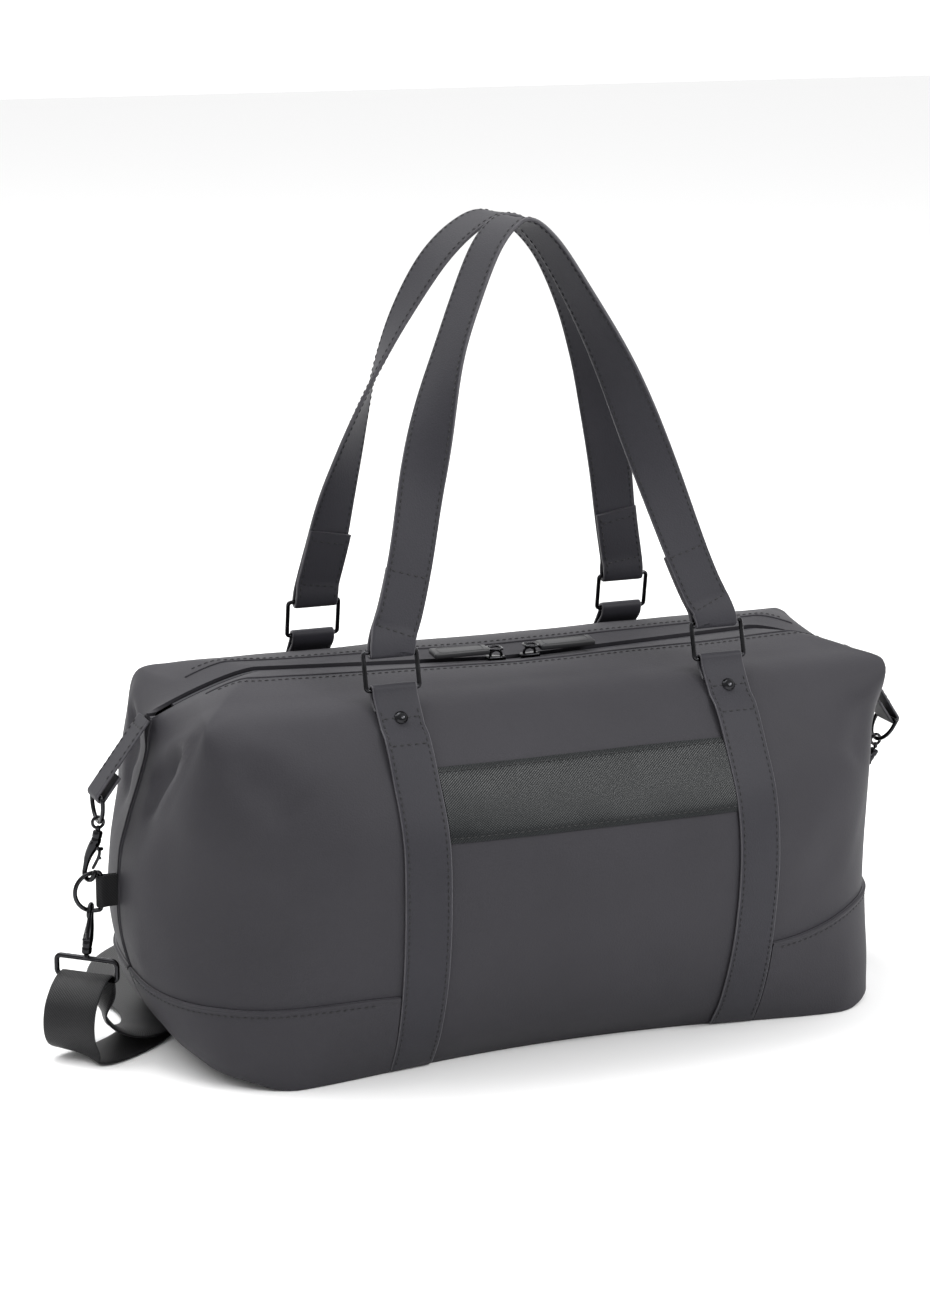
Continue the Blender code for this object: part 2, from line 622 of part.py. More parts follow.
def handles():
    for face in ("front", "back"):
        line, turn = handle_line(face)
        centre, up, out, wrap = handle_end(face)
        ends = []
        for side in (-1, 1):
            half = line[line[:, 0] * side > 0]
            half = half[np.argsort(half[:, 2])]
            rises = np.concatenate([[0], half[:, 2] - centre[1]])
            reach = np.concatenate([[HANDLE_FOOT], side * half[:, 0]])
            tail = []
            for rise in (0.050, 0.038, 0.026, 0.016, 0.010, 0.004):
                y, z = centre + up * rise - out * handle_stand(rise, wrap)
                tail.append((side * np.interp(rise, rises, reach), y, z))
            for angle in np.radians(np.linspace(15, 165, 6)):
                y, z = centre + wrap * (-out * math.cos(angle) - up * math.sin(angle))
                tail.append((side * HANDLE_FOOT, y, z))
            y, z = centre + up * 0.004 + out * wrap
            tail.append((side * np.interp(0.004, rises, reach), y, z))
            ends.append(np.array(tail))
        stand = handle_stand(line[:, 2] - centre[1], wrap)
        line[:, 1] += out[0] * stand
        line[:, 2] += out[1] * stand
        tangent = np.gradient(line, axis=0)
        tangent /= np.linalg.norm(tangent, axis=1, keepdims=True)
        wide = np.stack([np.sin(turn), -np.cos(turn), 0 * turn], 1)
        wide -= (wide * tangent).sum(1)[:, None] * tangent
        wide /= np.linalg.norm(wide, axis=1, keepdims=True)
        first = np.array([math.copysign(1, wide[0, 0]), 0, 0])
        last = np.array([math.copysign(1, wide[-1, 0]), 0, 0])
        path = np.concatenate([ends[0], line, ends[1][::-1]])
        across = np.concatenate([np.tile(first, (len(ends[0]), 1)), wide, np.tile(last, (len(ends[1]), 1))])
        pivot = (-STRAP_X, *ring_top(face))
        half = HANDLE_W / 2
        ribbon(f"handle_{face}", path - across * half, path + across * half, HANDLE_T, "strap", pivot)


# ---------------------------------------------------------------- zip sliders and pulls
def sliders():
    for side, name in ((-1, "left"), (1, "right")):
        x = side * SLIDER_X
        z = zip_height(x)
        tilt = Matrix.Rotation(-side * math.atan(ZIP_RISE[side]), 4, "Y")
        body = block(f"zip_slider_{name}", (0.0135, 0.0082, 0.0034), (x, 0, z + 0.0002),
                     "metal", 0.0009, tilt)
        post = block(f"slider_post_{name}", (0.0032, 0.0030, 0.0046), (x, 0, z + 0.0036),
                     "metal", 0.0007, tilt)
        join(body, post)
        bail_z = z + 0.0072
        bail = rounded_box_line(0.0046, 0.0026, 0.0018, 3)
        centre = (x + side * 0.0010, 0.0, bail_z)
        pivot = (centre[0] - side * 0.0046, 0.0, bail_z)
        points = [(centre[0] + side * u, v * 1.9, bail_z) for u, v in bail]
        wire(f"pull_link_{name}", points, 0.0008, closed=True, pivot=pivot)
        tab_size = (0.040, 0.0135, 0.0036)
        tab_x = centre[0] + side * (0.0058 + tab_size[0] / 2)
        tab_z = zip_height(tab_x) + 0.0052
        lean = Matrix.Rotation(-side * 0.01, 4, "Y")
        block(f"pull_tab_{name}", tab_size, (tab_x, 0, tab_z), "rubber", 0.0011, lean, pivot=pivot)


# ---------------------------------------------------------------- the end hardware
def d_line(half, reach, corner):
    """A D: a straight bar from -half to half, and a bow that reaches away from it, as pairs."""
    short = max(0.0, reach - half)
    bow = arc((0, short), half, 0, 180, 13)
    first = arc((-half + corner, corner), corner, 180, 270, 4)
    second = arc((half - corner, corner), corner, 270, 360, 4)
    return np.concatenate([first, second, bow])


def end_tabs():
    """A folded tab at each end of the zip, and the ring that hangs in its fold."""
    wrap = WIRE_R + 0.00035 + STRAP_T / 2
    for side, name in ((-1, "left"), (1, "right")):
        bar = np.array(END_BAR[side])
        top = np.array(TAB_TOP)
        down = (bar - top) / np.linalg.norm(bar - top)
        out = np.array([-down[1], down[0]])
        upper = [top + (bar - top) * t + out * wrap for t in (0.0, 0.3, 0.6, 0.92)]
        start = math.degrees(math.atan2(out[1], out[0]))
        bend = list(arc(bar, wrap, start, start - 180, 7))
        lower = [bar - out * wrap - down * s for s in (0.008, 0.018)]
        path = np.array([(side * x, 0.0, z) for x, z in upper + bend + lower])
        half = np.array([0, END_TAB_W / 2, 0])
        ribbon(f"end_tab_{name}", path - half, path + half, STRAP_T, "strap")
        drop = np.array([-math.sin(END_RING_TILT[side]), -math.cos(END_RING_TILT[side])])
        line = d_line(0.0138, END_RING_DROP, 0.0019)
        points = [(side * (bar[0] + drop[0] * v), u, bar[1] + drop[1] * v) for u, v in line]
        wire(f"end_ring_{name}", points, WIRE_R, closed=True, pivot=(side * bar[0], 0, bar[1]))


def side_rings(surface):
    for side, name in ((-1, "left"), (1, "right")):
        bar, middle = SIDE_BAR[side], SIDE_Z[side]
        line = d_line(SIDE_HALF, 0.0176, 0.0018)
        points = [(side * (bar + v), 0.0, middle + u) for u, v in line]
        wire(f"side_ring_{name}", points, WIRE_R, closed=True, pivot=(side * bar, 0, middle))
        wrap = WIRE_R + 0.00035 + 0.0007
        seam = surface[:, 0 if side < 0 else -1]
        near = np.abs(seam[:, 2] - middle) < 0.03
        root = np.abs(seam[near, 0]).max() + 0.0008
        first = [(root, -0.0012), (bar - 0.004, -0.0016), (bar - 0.0015, -wrap + 0.0002)]
        path = first + list(arc((bar, 0), wrap, -80, 80, 6)) + [(x, -y) for x, y in first[::-1]]
        line = np.array([(side * x, y, middle) for x, y in path])
        half = np.array([0, 0, 0.0110])
        ribbon(f"side_loop_{name}", line - half, line + half, 0.0014, "webbing")


def hook_line():
    """The snap hook's bar from its barrel to its tip, as (across, along, radius)."""
    stem = [(0.0, 0.0, 0.0026), (0.0, 0.0012, 0.0034), (0.0, 0.0078, 0.0034), (-0.0014, 0.0110, 0.0030),
            (-0.0034, 0.0150, 0.0024), (-0.0047, 0.0200, 0.0019), (-0.0049, 0.0250, 0.0017)]
    bow = [(u, w, 0.0017) for u, w in arc((0, HOOK_BOW), HOOK_BOW_R, 180, 0, 9)]
    return stem + bow + [(0.0050, 0.0272, 0.0015)]


def snap_hook(name, barrel, held, yaw):
    """A hook from its barrel end to the wire it holds, with its gate."""
    barrel, held = np.array(barrel), np.array(held)
    along = (held - barrel) / np.linalg.norm(held - barrel)
    across = np.array([math.sin(yaw), -math.cos(yaw), 0.0])
    across -= along * across.dot(along)
    across /= np.linalg.norm(across)
    line = hook_line()
    wire(name, [barrel + across * u + along * w for u, w, _ in line], 0.0017, pivot=barrel,
         radii=[r for _, _, r in line])
    gate = [barrel + across * u + along * w
            for u, w in ((0.0052, 0.0112), (0.0058, 0.0160), (0.0042, 0.0212), (0.0026, 0.0252))]
    wire(f"{name}_gate", gate, 0.0010, pivot=gate[0])


def hook_places(side):
    """The ends of both hooks: (upper barrel, upper wire, lower barrel, lower wire)."""
    bar, tilt = END_BAR[side], END_RING_TILT[side]
    bow_x, bow_z = bar[0] - math.sin(tilt) * END_RING_DROP, bar[1] - math.cos(tilt) * END_RING_DROP
    top = (side * bow_x, 0.0, bow_z - EYE_DROP[side])
    out, rise = SIDE_HOLD[side]
    held_x = side * (SIDE_BAR[side] + out)
    high = (held_x, 0.0, SIDE_Z[side] + rise)
    low = (held_x, 0.0, SIDE_Z[side] - rise)
    fall = math.sqrt(HOOK_REACH**2 - (LOOP_X[side] - abs(held_x)) ** 2)
    return top, high, (side * LOOP_X[side], 0.0, low[2] - fall), low


def end_hooks():
    for side, name in ((-1, "left"), (1, "right")):
        top, high, barrel, low = hook_places(side)
        eye_z = top[2] + EYE_DROP[side] - 0.0009
        ring = [(top[0] + EYE_R * math.cos(a), 0.0, eye_z + EYE_R * math.sin(a))
                for a in np.radians(np.arange(0, 360, 24))]
        loop = wire(f"gusset_hook_eye_{name}", ring, EYE_WIRE, closed=True)
        post = wire("eye_post", [(top[0], 0, eye_z - 0.0036), (top[0], 0, eye_z - 0.0053)], 0.0016)
        join(loop, post)
        snap_hook(f"gusset_hook_{name}", top, high, -side * HOOK_YAW)
        snap_hook(f"strap_hook_{name}", barrel, low, side * HOOK_YAW)
        strap_loop(name, side, barrel)


def across_loop(side):
    """The way across a strap loop, level."""
    return np.array([math.cos(LOOP_YAW[side]), side * math.sin(LOOP_YAW[side]), 0.0])


def loop_bar(side):
    """The middle of a strap loop's lower bar."""
    barrel = hook_places(side)[2]
    return np.array([barrel[0], 0.0, barrel[2] - 0.0014 - LOOP_WIRE - 2 * LOOP_HALF_H])


def strap_loop(name, side, barrel):
    wide, bar = across_loop(side), loop_bar(side)
    line = rounded_box_line(LOOP_HALF_W, LOOP_HALF_H, LOOP_CORNER)
    points = [bar + wide * u + np.array([0, 0, v + LOOP_HALF_H]) for u, v in line]
    loop = wire(f"strap_loop_{name}", points, LOOP_WIRE, closed=True, pivot=barrel)
    post = wire("loop_post", [(barrel[0], 0, barrel[2] - GAP), (barrel[0], 0, barrel[2] - 0.0032)], 0.0018)
    join(loop, post)


# ---------------------------------------------------------------- the shoulder strap
def over_bar(side, start, end, steps=7):
    """The webbing's way over a loop's lower bar, from one side of it to the other, in degrees."""
    wide = across_loop(side)
    away = np.array([-wide[1], wide[0], 0.0])
    radius = LOOP_WIRE + 0.00035 + WEB_T / 2
    return [loop_bar(side) + away * c + np.array([0, 0, s])
            for c, s in arc((0, 0), radius, start, end, steps)]


def beside_bar(side, places):
    """Points by a loop, each as its distance from the bar across the webbing, its shift along it, and z."""
    wide = across_loop(side)
    away = np.array([-wide[1], wide[0], 0.0])
    flat = loop_bar(side) * (1, 1, 0)
    return [flat + away * a + wide * b + np.array([0, 0, z]) for a, b, z in places]


def at_height(points, z):
    return [np.array([x, y, z]) for x, y in points]


def strap_route():
    """The shoulder strap's centre line, from its end at the right loop to its end on the adjuster."""
    ax, ay, az = ADJUSTER
    right = beside_bar(1, ((-0.0013, 0, 0.0280), (-0.0014, 0, 0.0400)))
    right += over_bar(1, 180, 0)
    right += beside_bar(1, ((0.0014, 0, 0.0410), (0.0013, 0, 0.0300), (0.0035, 0, 0.0180),
                            (0.0100, 0, 0.0080), (0.0210, 0, 0.0028)))
    behind = at_height(((0.2530, 0.034), (0.2492, 0.064), (0.2450, 0.098), (0.2320, 0.132), (0.2020, 0.160),
                        (0.1520, 0.178), (0.0900, 0.185), (0.0200, 0.180)), 0.0012)
    buckle = [(0.040, 0.0013), (0.024, 0.0018), (0.0135, 0.0038), (0.0085, 0.0068), (0.0040, 0.0104),
              (0.0, 0.0114), (-0.0035, 0.0106), (-0.0080, 0.0078), (-0.0135, 0.0040), (-0.0220, 0.0034)]
    buckle = [np.array([ax + x, ay, z]) for x, z in buckle]
    outer = at_height(((-0.1350, 0.1830), (-0.1700, 0.1930), (-0.2100, 0.1870), (-0.2420, 0.1600),
                       (-0.2575, 0.1240), (-0.2590, 0.0900), (-0.2540, 0.0600), (-0.2560, 0.0350)), 0.0034)
    down = [(-0.2650, 0.0170, 0.0042), (-0.2800, 0.0050, 0.0080), (-0.2905, 0.0020, 0.0150),
            (-0.2970, 0.0025, 0.0250), (-0.3015, 0.0030, 0.0370)]
    left = [np.array(p) for p in down] + over_bar(-1, -8, 100)
    left += beside_bar(-1, ((-0.0090, 0, 0.0525), (-0.0175, 0, 0.0470), (-0.0250, 0, 0.0380),
                            (-0.0280, 0, 0.0270), (-0.0262, 0, 0.0160), (-0.0210, 0.0015, 0.0075)))
    under = [np.array(p) for p in ((-0.3120, -0.0150, 0.0028), (-0.3022, -0.0145, 0.0013))]
    inner = at_height(((-0.2812, -0.0010), (-0.2650, 0.0150), (-0.2530, 0.0360), (-0.2462, 0.0600),
                       (-0.2450, 0.0880), (-0.2420, 0.1150), (-0.2280, 0.1430), (-0.2000, 0.1600),
                       (-0.1600, 0.1660), (-0.1200, 0.1695)), 0.0012)
    ends = [(ax - 0.0130, ay, 0.0013), (ax - 0.0060, ay, 0.0024)]
    wrap = arc((ax, az), ADJUSTER_WIRE + 0.00035 + WEB_T / 2, -110, 80, 8)
    ends = [np.array(p) for p in ends] + [np.array([x, ay, z]) for x, z in wrap]
    return right, behind, buckle, outer, left, under, inner, ends


def shoulder_strap():
    right, behind, buckle, outer, left, under, inner, ends = strap_route()
    keys = np.array(right + behind + buckle + outer + left + under + inner + ends)
    line = smooth_line(keys, 2)
    counts = np.cumsum([len(right), len(behind), len(buckle), len(outer), len(left), len(under)]) * 2
    heading = np.gradient(line, axis=0)
    heading[:, 2] = 0
    across = np.stack([heading[:, 1], -heading[:, 0], 0 * heading[:, 0]], 1)
    across /= np.linalg.norm(across, axis=1, keepdims=True) + 1e-12
    across[: counts[0] - 6] = -across_loop(1)
    across[counts[3] + 8 : counts[4] - 1] = across_loop(-1)
    # From the floor up to the left loop the webbing runs the other way, so its left and right swap.
    across[: counts[3] + 8] = -across[: counts[3] + 8]
    across = settle(across)
    half = WEB_W / 2
    ribbon("shoulder_strap", line - across * half, line + across * half, WEB_T, "webbing")
    ax, ay, az = ADJUSTER
    frame = rounded_box_line(ADJUSTER_HALF, ADJUSTER_W, 0.0025)
    buckle = wire("strap_adjuster", [(ax + u, ay + v, az) for u, v in frame], ADJUSTER_WIRE, closed=True)
    bar = wire("adjuster_bar", [(ax, ay - ADJUSTER_W, az), (ax, ay + ADJUSTER_W, az)], ADJUSTER_WIRE)
    join(buckle, bar)


def settle(vectors):
    """Unit vectors evened out along the line, so that the webbing turns gently."""
    kernel = np.array([1, 2, 3, 2, 1]) / 9
    padded = np.concatenate([np.tile(vectors[0], (2, 1)), vectors, np.tile(vectors[-1], (2, 1))])
    even = np.stack([np.convolve(padded[:, k], kernel, "valid") for k in range(3)], 1)
    return even / np.linalg.norm(even, axis=1, keepdims=True)


# ---------------------------------------------------------------- build
def main():
    clear()
    surface = shell_front()
    panels(surface)
    base_parts()
    lining()
    corner_panels(surface)
    zip_parts()
    straps(surface)
    band(surface)
    handle_rings()
    handles()
    sliders()
    end_tabs()
    side_rings(surface)
    end_hooks()
    shoulder_strap()


main()
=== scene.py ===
"""Looks of the weekender bag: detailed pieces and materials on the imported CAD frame."""

import math

import bmesh
import bpy
import numpy as np
from mathutils import Matrix, Vector, noise


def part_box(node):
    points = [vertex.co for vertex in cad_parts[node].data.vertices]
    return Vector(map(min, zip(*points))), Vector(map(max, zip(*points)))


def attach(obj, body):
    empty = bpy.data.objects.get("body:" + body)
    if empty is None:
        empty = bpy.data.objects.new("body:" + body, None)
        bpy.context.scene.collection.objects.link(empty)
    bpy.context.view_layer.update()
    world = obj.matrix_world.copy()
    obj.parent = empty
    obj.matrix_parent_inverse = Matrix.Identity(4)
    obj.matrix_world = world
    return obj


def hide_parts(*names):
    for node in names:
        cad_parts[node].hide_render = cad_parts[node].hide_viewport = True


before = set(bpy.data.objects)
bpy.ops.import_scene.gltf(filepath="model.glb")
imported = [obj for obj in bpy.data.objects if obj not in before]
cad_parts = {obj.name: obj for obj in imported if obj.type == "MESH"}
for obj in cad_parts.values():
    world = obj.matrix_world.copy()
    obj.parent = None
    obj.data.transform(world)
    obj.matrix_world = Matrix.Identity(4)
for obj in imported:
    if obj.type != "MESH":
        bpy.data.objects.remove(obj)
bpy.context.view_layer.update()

# ---------------------------------------------------------------- camera
CAMERA_AT = (-0.8039, -1.9618, 0.7724)
CAMERA_TO = (-0.0353, 0.0, 0.2522)
CAMERA_LENS = 87.4


def make_camera():
    data = bpy.data.cameras.new("camera")
    data.lens = CAMERA_LENS
    data.sensor_width = 36
    data.clip_end = 30
    obj = bpy.data.objects.new("camera", data)
    bpy.context.scene.collection.objects.link(obj)
    obj.location = CAMERA_AT
    obj.rotation_euler = (Vector(CAMERA_TO) - Vector(CAMERA_AT)).to_track_quat("-Z", "Y").to_euler()
    bpy.context.scene.camera = obj


make_camera()

# ---------------------------------------------------------------- driving dimensions
GAP = 0.0003  # between pieces that touch
STRAP_T = 0.002
STRAP_W = 0.031
STRAP_X = 0.118  # from the middle of the bag to each vertical strap
BAND_T = 0.0015
BAND_LOW, BAND_HIGH = 0.164, 0.208
HANDLE_T = 0.0028
HANDLE_W = 0.031
HANDLE_TOP = 0.5465
HANDLE_FOOT = 0.117  # where each end of a handle hangs in its ring
HANDLE_HALF = {  # half of each handle's centre line, as distances from the middle and heights
    "front": ((0.1145, 0.2880), (0.1078, 0.3030), (0.0975, 0.3340), (0.0820, 0.3880), (0.0630, 0.4460),
              (0.0420, 0.4930), (0.0200, 0.5320), (0.0, HANDLE_TOP)),
    "back": ((0.1160, 0.2900), (0.1100, 0.3180), (0.1015, 0.3620), (0.0890, 0.4120), (0.0790, 0.4440),
             (0.0640, 0.4800), (0.0430, 0.5160), (0.0210, 0.5380), (0.0, HANDLE_TOP)),
}
WIRE_R = 0.0015  # handle rings, end rings and side rings
RING_HALF_W, RING_HALF_H, RING_CORNER = 0.0185, 0.0125, 0.0022
RING_Y, RING_Z = 0.0825, 0.2535  # the ring bar that lies in the strap's fold
RIVET_SPAN = ((-0.1003, 0.2322), (-0.0925, 0.2420))  # the straight part of the strap under each rivet
LEAN = {"front": 0.2815, "back": 0.155}  # how far each handle leans in, per metre of height
ZIP_HALF = 0.0065  # from the zip's middle to the shell's edge
ZIP_RISE = {-1: 0.049, 1: 0.031}  # slope of the zip line on the left and on the right
ZIP_MID = 0.2452
SLIDER_X = 0.0125  # where each closed slider stands
WEB_W, WEB_T = 0.038, 0.0015  # shoulder webbing
WING = (0.2465, 0.078, 0.239)  # the corner at each end of each shoulder
ZIP_END = (0.2625, 0.0015, 0.203)  # where the shoulders meet at each end
# Top of a corner panel at the strap and at the bag's end.
CORNER_HIGH = {-1: (0.0615, 0.0560), 1: (0.0660, 0.0820)}
END_TAB_W = 0.023
TAB_TOP = (0.2612, 0.2262)
# The end hardware, on the left (-1) and on the right (1), as distances out from the middle and heights.
END_BAR = {-1: (0.2970, 0.1785), 1: (0.2955, 0.1745)}  # the end ring's bar, in the tab's fold
END_RING_TILT = {-1: 0.0, 1: math.radians(30)}  # how far each end ring is drawn towards the bag
END_RING_DROP = 0.0186
SIDE_BAR = {-1: 0.2965, 1: 0.2590}  # the side ring's upright bar
SIDE_Z = {-1: 0.1112, 1: 0.11415}  # the middle of each side ring
SIDE_HOLD = {-1: (0.0075, 0.01283), 1: (0.0085, 0.01255)}  # from that middle to where the hooks hold it
SIDE_HALF = 0.0132
EYE_R, EYE_WIRE = 0.0038, 0.0011
EYE_DROP = {-1: 0.0065, 1: 0.0081}  # from the end ring's bow to the hook's barrel
HOOK_REACH = 0.0302  # from a snap hook's barrel to the wire it holds
HOOK_YAW = math.radians(25)
HOOK_BOW, HOOK_BOW_R = 0.0293, 0.0049  # the middle and the radius of the hook's bow
LOOP_X = {-1: 0.3075, 1: 0.2695}  # where each shoulder strap loop hangs
LOOP_YAW = {-1: math.radians(42), 1: math.radians(66)}
LOOP_HALF_W, LOOP_HALF_H, LOOP_WIRE, LOOP_CORNER = 0.0225, 0.0068, 0.0018, 0.0035
FOOT_LIFT = 0.006  # how far the soft ends of the bag stand off the floor
ADJUSTER = (-0.085, 0.170, 0.0066)
ADJUSTER_HALF, ADJUSTER_W, ADJUSTER_WIRE = 0.014, 0.0215, 0.0014

# One row for each height of the shell: height, half depth, how far the middle of the foot is pulled
# in, squareness, how far the corner fold is from the middle plane, and the corner and end reach for
# the left and the right, with a squareness of its own where it has one. Above the side rings the
# corner fold climbs outwards to the wing.
ROWS = (
    (0.000, 0.128, 0.028, 6.0, 0.045, (None, 0.2445), (None, 0.2370)),
    (0.030, 0.138, 0.014, 4.0, 0.045, (None, 0.2670), (None, 0.2395, 4.6)),
    (0.080, 0.149, 0.003, 2.8, 0.040, (None, 0.2830), (None, 0.2415, 3.5)),
    (0.130, 0.153, 0.000, 2.6, 0.032, (None, 0.2830), (None, 0.2430, 3.4)),
    (0.170, 0.146, 0.000, 2.8, 0.038, (0.2675, 0.2770), (0.2400, 0.2420, 3.2)),
    (0.207, 0.121, 0.000, 3.4, 0.058, (0.2570, 0.2690), (0.2420, 0.2500, 3.4)),
    (0.238, 0.0895, 0.000, 5.0, WING[1], (WING[0], ZIP_END[0]), (WING[0], ZIP_END[0])),
)
END_HEIGHTS = (0.000, 0.030, 0.080, 0.130, 0.157, 0.181, ZIP_END[2])
TOP_ROWS = (0.33, 0.68, 1.0)  # shares of the way from the shoulder to the zip
FRONT_COLS, END_COLS = 10, 3

# ---------------------------------------------------------------- lines and curves
def smooth_line(points, per_span):
    """A Catmull-Rom curve through the points."""
    p = np.array(points, float)
    ends = np.concatenate([[2 * p[0] - p[1]], p, [2 * p[-1] - p[-2]]])
    out = []
    for a, b, c, d in zip(ends, ends[1:], ends[2:], ends[3:]):
        for k in range(per_span):
            t = k / per_span
            out.append(0.5 * (2 * b + (c - a) * t + (2 * a - 5 * b + 4 * c - d) * t**2
                              + (3 * b - a - 3 * c + d) * t**3))
    return np.array(out + [p[-1]])


def arc(centre, radius, start, end, steps):
    """Points of a circular arc, in degrees, as pairs."""
    angles = np.radians(np.linspace(start, end, steps))
    return np.stack([centre[0] + radius * np.cos(angles), centre[1] + radius * np.sin(angles)], 1)


def rounded_box_line(half_w, half_h, corner, steps=4):
    """A rectangle with round corners about the origin, as pairs."""
    corners = ((1, 1, 0), (-1, 1, 90), (-1, -1, 180), (1, -1, 270))
    lines = [arc((sx * (half_w - corner), sy * (half_h - corner)), corner, a, a + 90, steps)
             for sx, sy, a in corners]
    return np.concatenate(lines)


def smooth_step(value, low, high):
    t = np.clip((value - low) / (high - low), 0, 1)
    return t * t * (3 - 2 * t)


def blend_rows(keys, per_span):
    """Rows of points between the key rows, smooth from row to row."""
    return smooth_line(keys.reshape(len(keys), -1), per_span).reshape(-1, *keys.shape[1:])


# ---------------------------------------------------------------- the shell's surface
def half_row(row, end_z, side, front_cols, end_cols):
    """Points from the middle of the front to the bag's end at one height."""
    z, depth, pull, square, fold_y, left, right = row
    fold_x, reach, *own = left if side < 0 else right
    square = own[0] if own else square
    if fold_x is None:
        box_x, box_y = reach, 0.0
        fold_x = reach * (1 - (fold_y / depth) ** square) ** (1 / square)
    else:
        box_x, box_y = fold_x, fold_y
    points = []
    for x, y in even_columns(box_x, depth - box_y, square, fold_x, fold_y - box_y, front_cols):
        y += box_y - pull * max(0.0, 1 - (x / 0.2) ** 2)
        points.append((side * x, -y, z))
    for k in range(1, end_cols + 1):
        t = k / end_cols
        if box_y:
            x, y = fold_x + (reach - fold_x) * t, fold_y * (1 - t) + ZIP_END[1] * t
        else:
            y = fold_y * (1 - t) + ZIP_END[1] * t
            x = reach * (1 - (y / depth) ** square) ** (1 / square)
        points.append((side * x, -y, z + (end_z - z) * t))
    if z == 0:
        points = [(x, y, foot_lift(x)) for x, y, _ in points]
    return points


def foot_lift(x):
    """The soft ends of the bag curl up off the floor, past its stiff base."""
    return FOOT_LIFT * float(smooth_step(abs(x), 0.205, 0.235))


def even_columns(reach, depth, square, fold_x, fold_y, count):
    """Points of a superellipse from its middle to the fold, closer together where it turns."""
    share = np.linspace(0, 1, 400)
    flat = np.stack([reach * share, depth * (1 - share**square) ** (1 / square)], 1)
    steep = np.stack([reach * (1 - share**square) ** (1 / square), depth * share], 1)
    line = np.concatenate([flat, steep])
    line = line[np.lexsort((-line[:, 1], line[:, 0]))]
    line = line[(line[:, 0] <= fold_x) & (line[:, 1] >= fold_y)]
    line = np.concatenate([line, [(fold_x, fold_y)]])
    step = np.diff(line, axis=0)
    length = np.hypot(step[:, 0], step[:, 1])
    line, step, length = line[:-1][length > 1e-9], step[length > 1e-9], length[length > 1e-9]
    angle = np.unwrap(np.arctan2(step[:, 1], step[:, 0]))
    turn = np.abs(np.diff(angle, prepend=angle[0]))
    weight = np.cumsum(length / length.sum() + 0.9 * turn / max(turn.sum(), 1e-6))
    weight = np.concatenate([[0], weight]) / weight[-1]
    line = np.concatenate([line, [(fold_x, fold_y)]])
    at = np.linspace(0, 1, count + 1)
    return np.stack([np.interp(at, weight, line[:, 0]), np.interp(at, weight, line[:, 1])], 1)


def zip_height(x):
    """Height of the zip line: it rises from the middle and drops at the ends."""
    side = -1 if x < 0 else 1
    ax = abs(x)
    top = ZIP_MID + ZIP_RISE[side] * (math.sqrt(ax**2 + 0.01**2) - 0.01)
    drop = 0.0 if ax < 0.185 else (ax - 0.185) ** 1.35 * (0.95 if side < 0 else 0.86)
    return top - drop


def shell_front(per_span=2, front_cols=FRONT_COLS, end_cols=END_COLS):
    """Grid of the front panel's outer surface, from the base to the zip, left end to right end."""
    keys = []
    for row, end_z in zip(ROWS, END_HEIGHTS):
        left = half_row(row, end_z, -1, front_cols, end_cols)
        right = half_row(row, end_z, 1, front_cols, end_cols)
        keys.append(left[::-1] + right[1:])
    shoulder = keys[-1]
    middle = front_cols + end_cols
    for share in TOP_ROWS:
        row = []
        for k, (x, y, z) in enumerate(shoulder):
            out = abs(k - middle)
            side = -1 if k < middle else 1
            t = min(1.0, out / front_cols)
            zip_x = 0.232 * t + 0.0285 * max(0, out - front_cols) / end_cols
            zip_z = zip_height(side * zip_x)
            crown = 0.006 * 4 * share * (1 - share) * (1 - 0.5 * t)
            row.append((x + (side * zip_x - x) * share, y + (-ZIP_HALF - y) * share,
                        z + (zip_z - z) * (1 - (1 - share) ** 1.6 if out <= front_cols else share) + crown))
        keys.append(row)
    return blend_rows(np.array(keys), per_span)


def normals_of(grid):
    """Unit normals of a grid, pointing out of the bag at the front."""
    along = np.gradient(grid, axis=1)
    up = np.gradient(grid, axis=0)
    n = np.cross(along, up)
    return n / np.linalg.norm(n, axis=2, keepdims=True)


def offset(grid, distance):
    """The grid moved out along its normals, kept on its own side of the bag's middle plane."""
    moved = grid + normals_of(grid) * distance
    moved[:, :, 1] = np.minimum(moved[:, :, 1], -0.0008)
    return moved


def mirrored(grid):
    """The back's copy of a front grid, with its columns turned round so that it still faces out."""
    return grid[:, ::-1] * np.array([1, -1, 1])


def profile_at(surface, x):
    """The surface's height line at one place along the bag, as points."""
    return np.array([[x, np.interp(x, row[:, 0], row[:, 1]), np.interp(x, row[:, 0], row[:, 2])]
                     for row in surface])


def point_at(surface, x, z):
    line = profile_at(surface, x)
    below = line[: np.argmax(line[:, 2]) + 1]
    return np.array([x, np.interp(z, below[:, 2], below[:, 1]), z])


# ---------------------------------------------------------------- materials
def node_tree(name, rough, metallic=0.0, specular=0.5):
    mat = bpy.data.materials.new(name)
    mat.use_nodes = True
    tree = mat.node_tree
    shader = tree.nodes["Principled BSDF"]
    shader.inputs["Roughness"].default_value = rough
    shader.inputs["Metallic"].default_value = metallic
    shader.inputs["Specular IOR Level"].default_value = specular
    return mat, tree, shader


def add(tree, kind, **values):
    node = tree.nodes.new(kind)
    for key, value in values.items():
        if hasattr(node, key):
            setattr(node, key, value)
        else:
            node.inputs[key.replace("_", " ")].default_value = value
    return node


def color_mix(tree, factor, low, high):
    ramp = tree.nodes.new("ShaderNodeValToRGB")
    ramp.color_ramp.elements[0].color = (*low, 1)
    ramp.color_ramp.elements[1].color = (*high, 1)
    ramp.color_ramp.elements[0].position = 0.3
    ramp.color_ramp.elements[1].position = 0.7
    tree.links.new(factor, ramp.inputs["Fac"])
    return ramp.outputs["Color"]


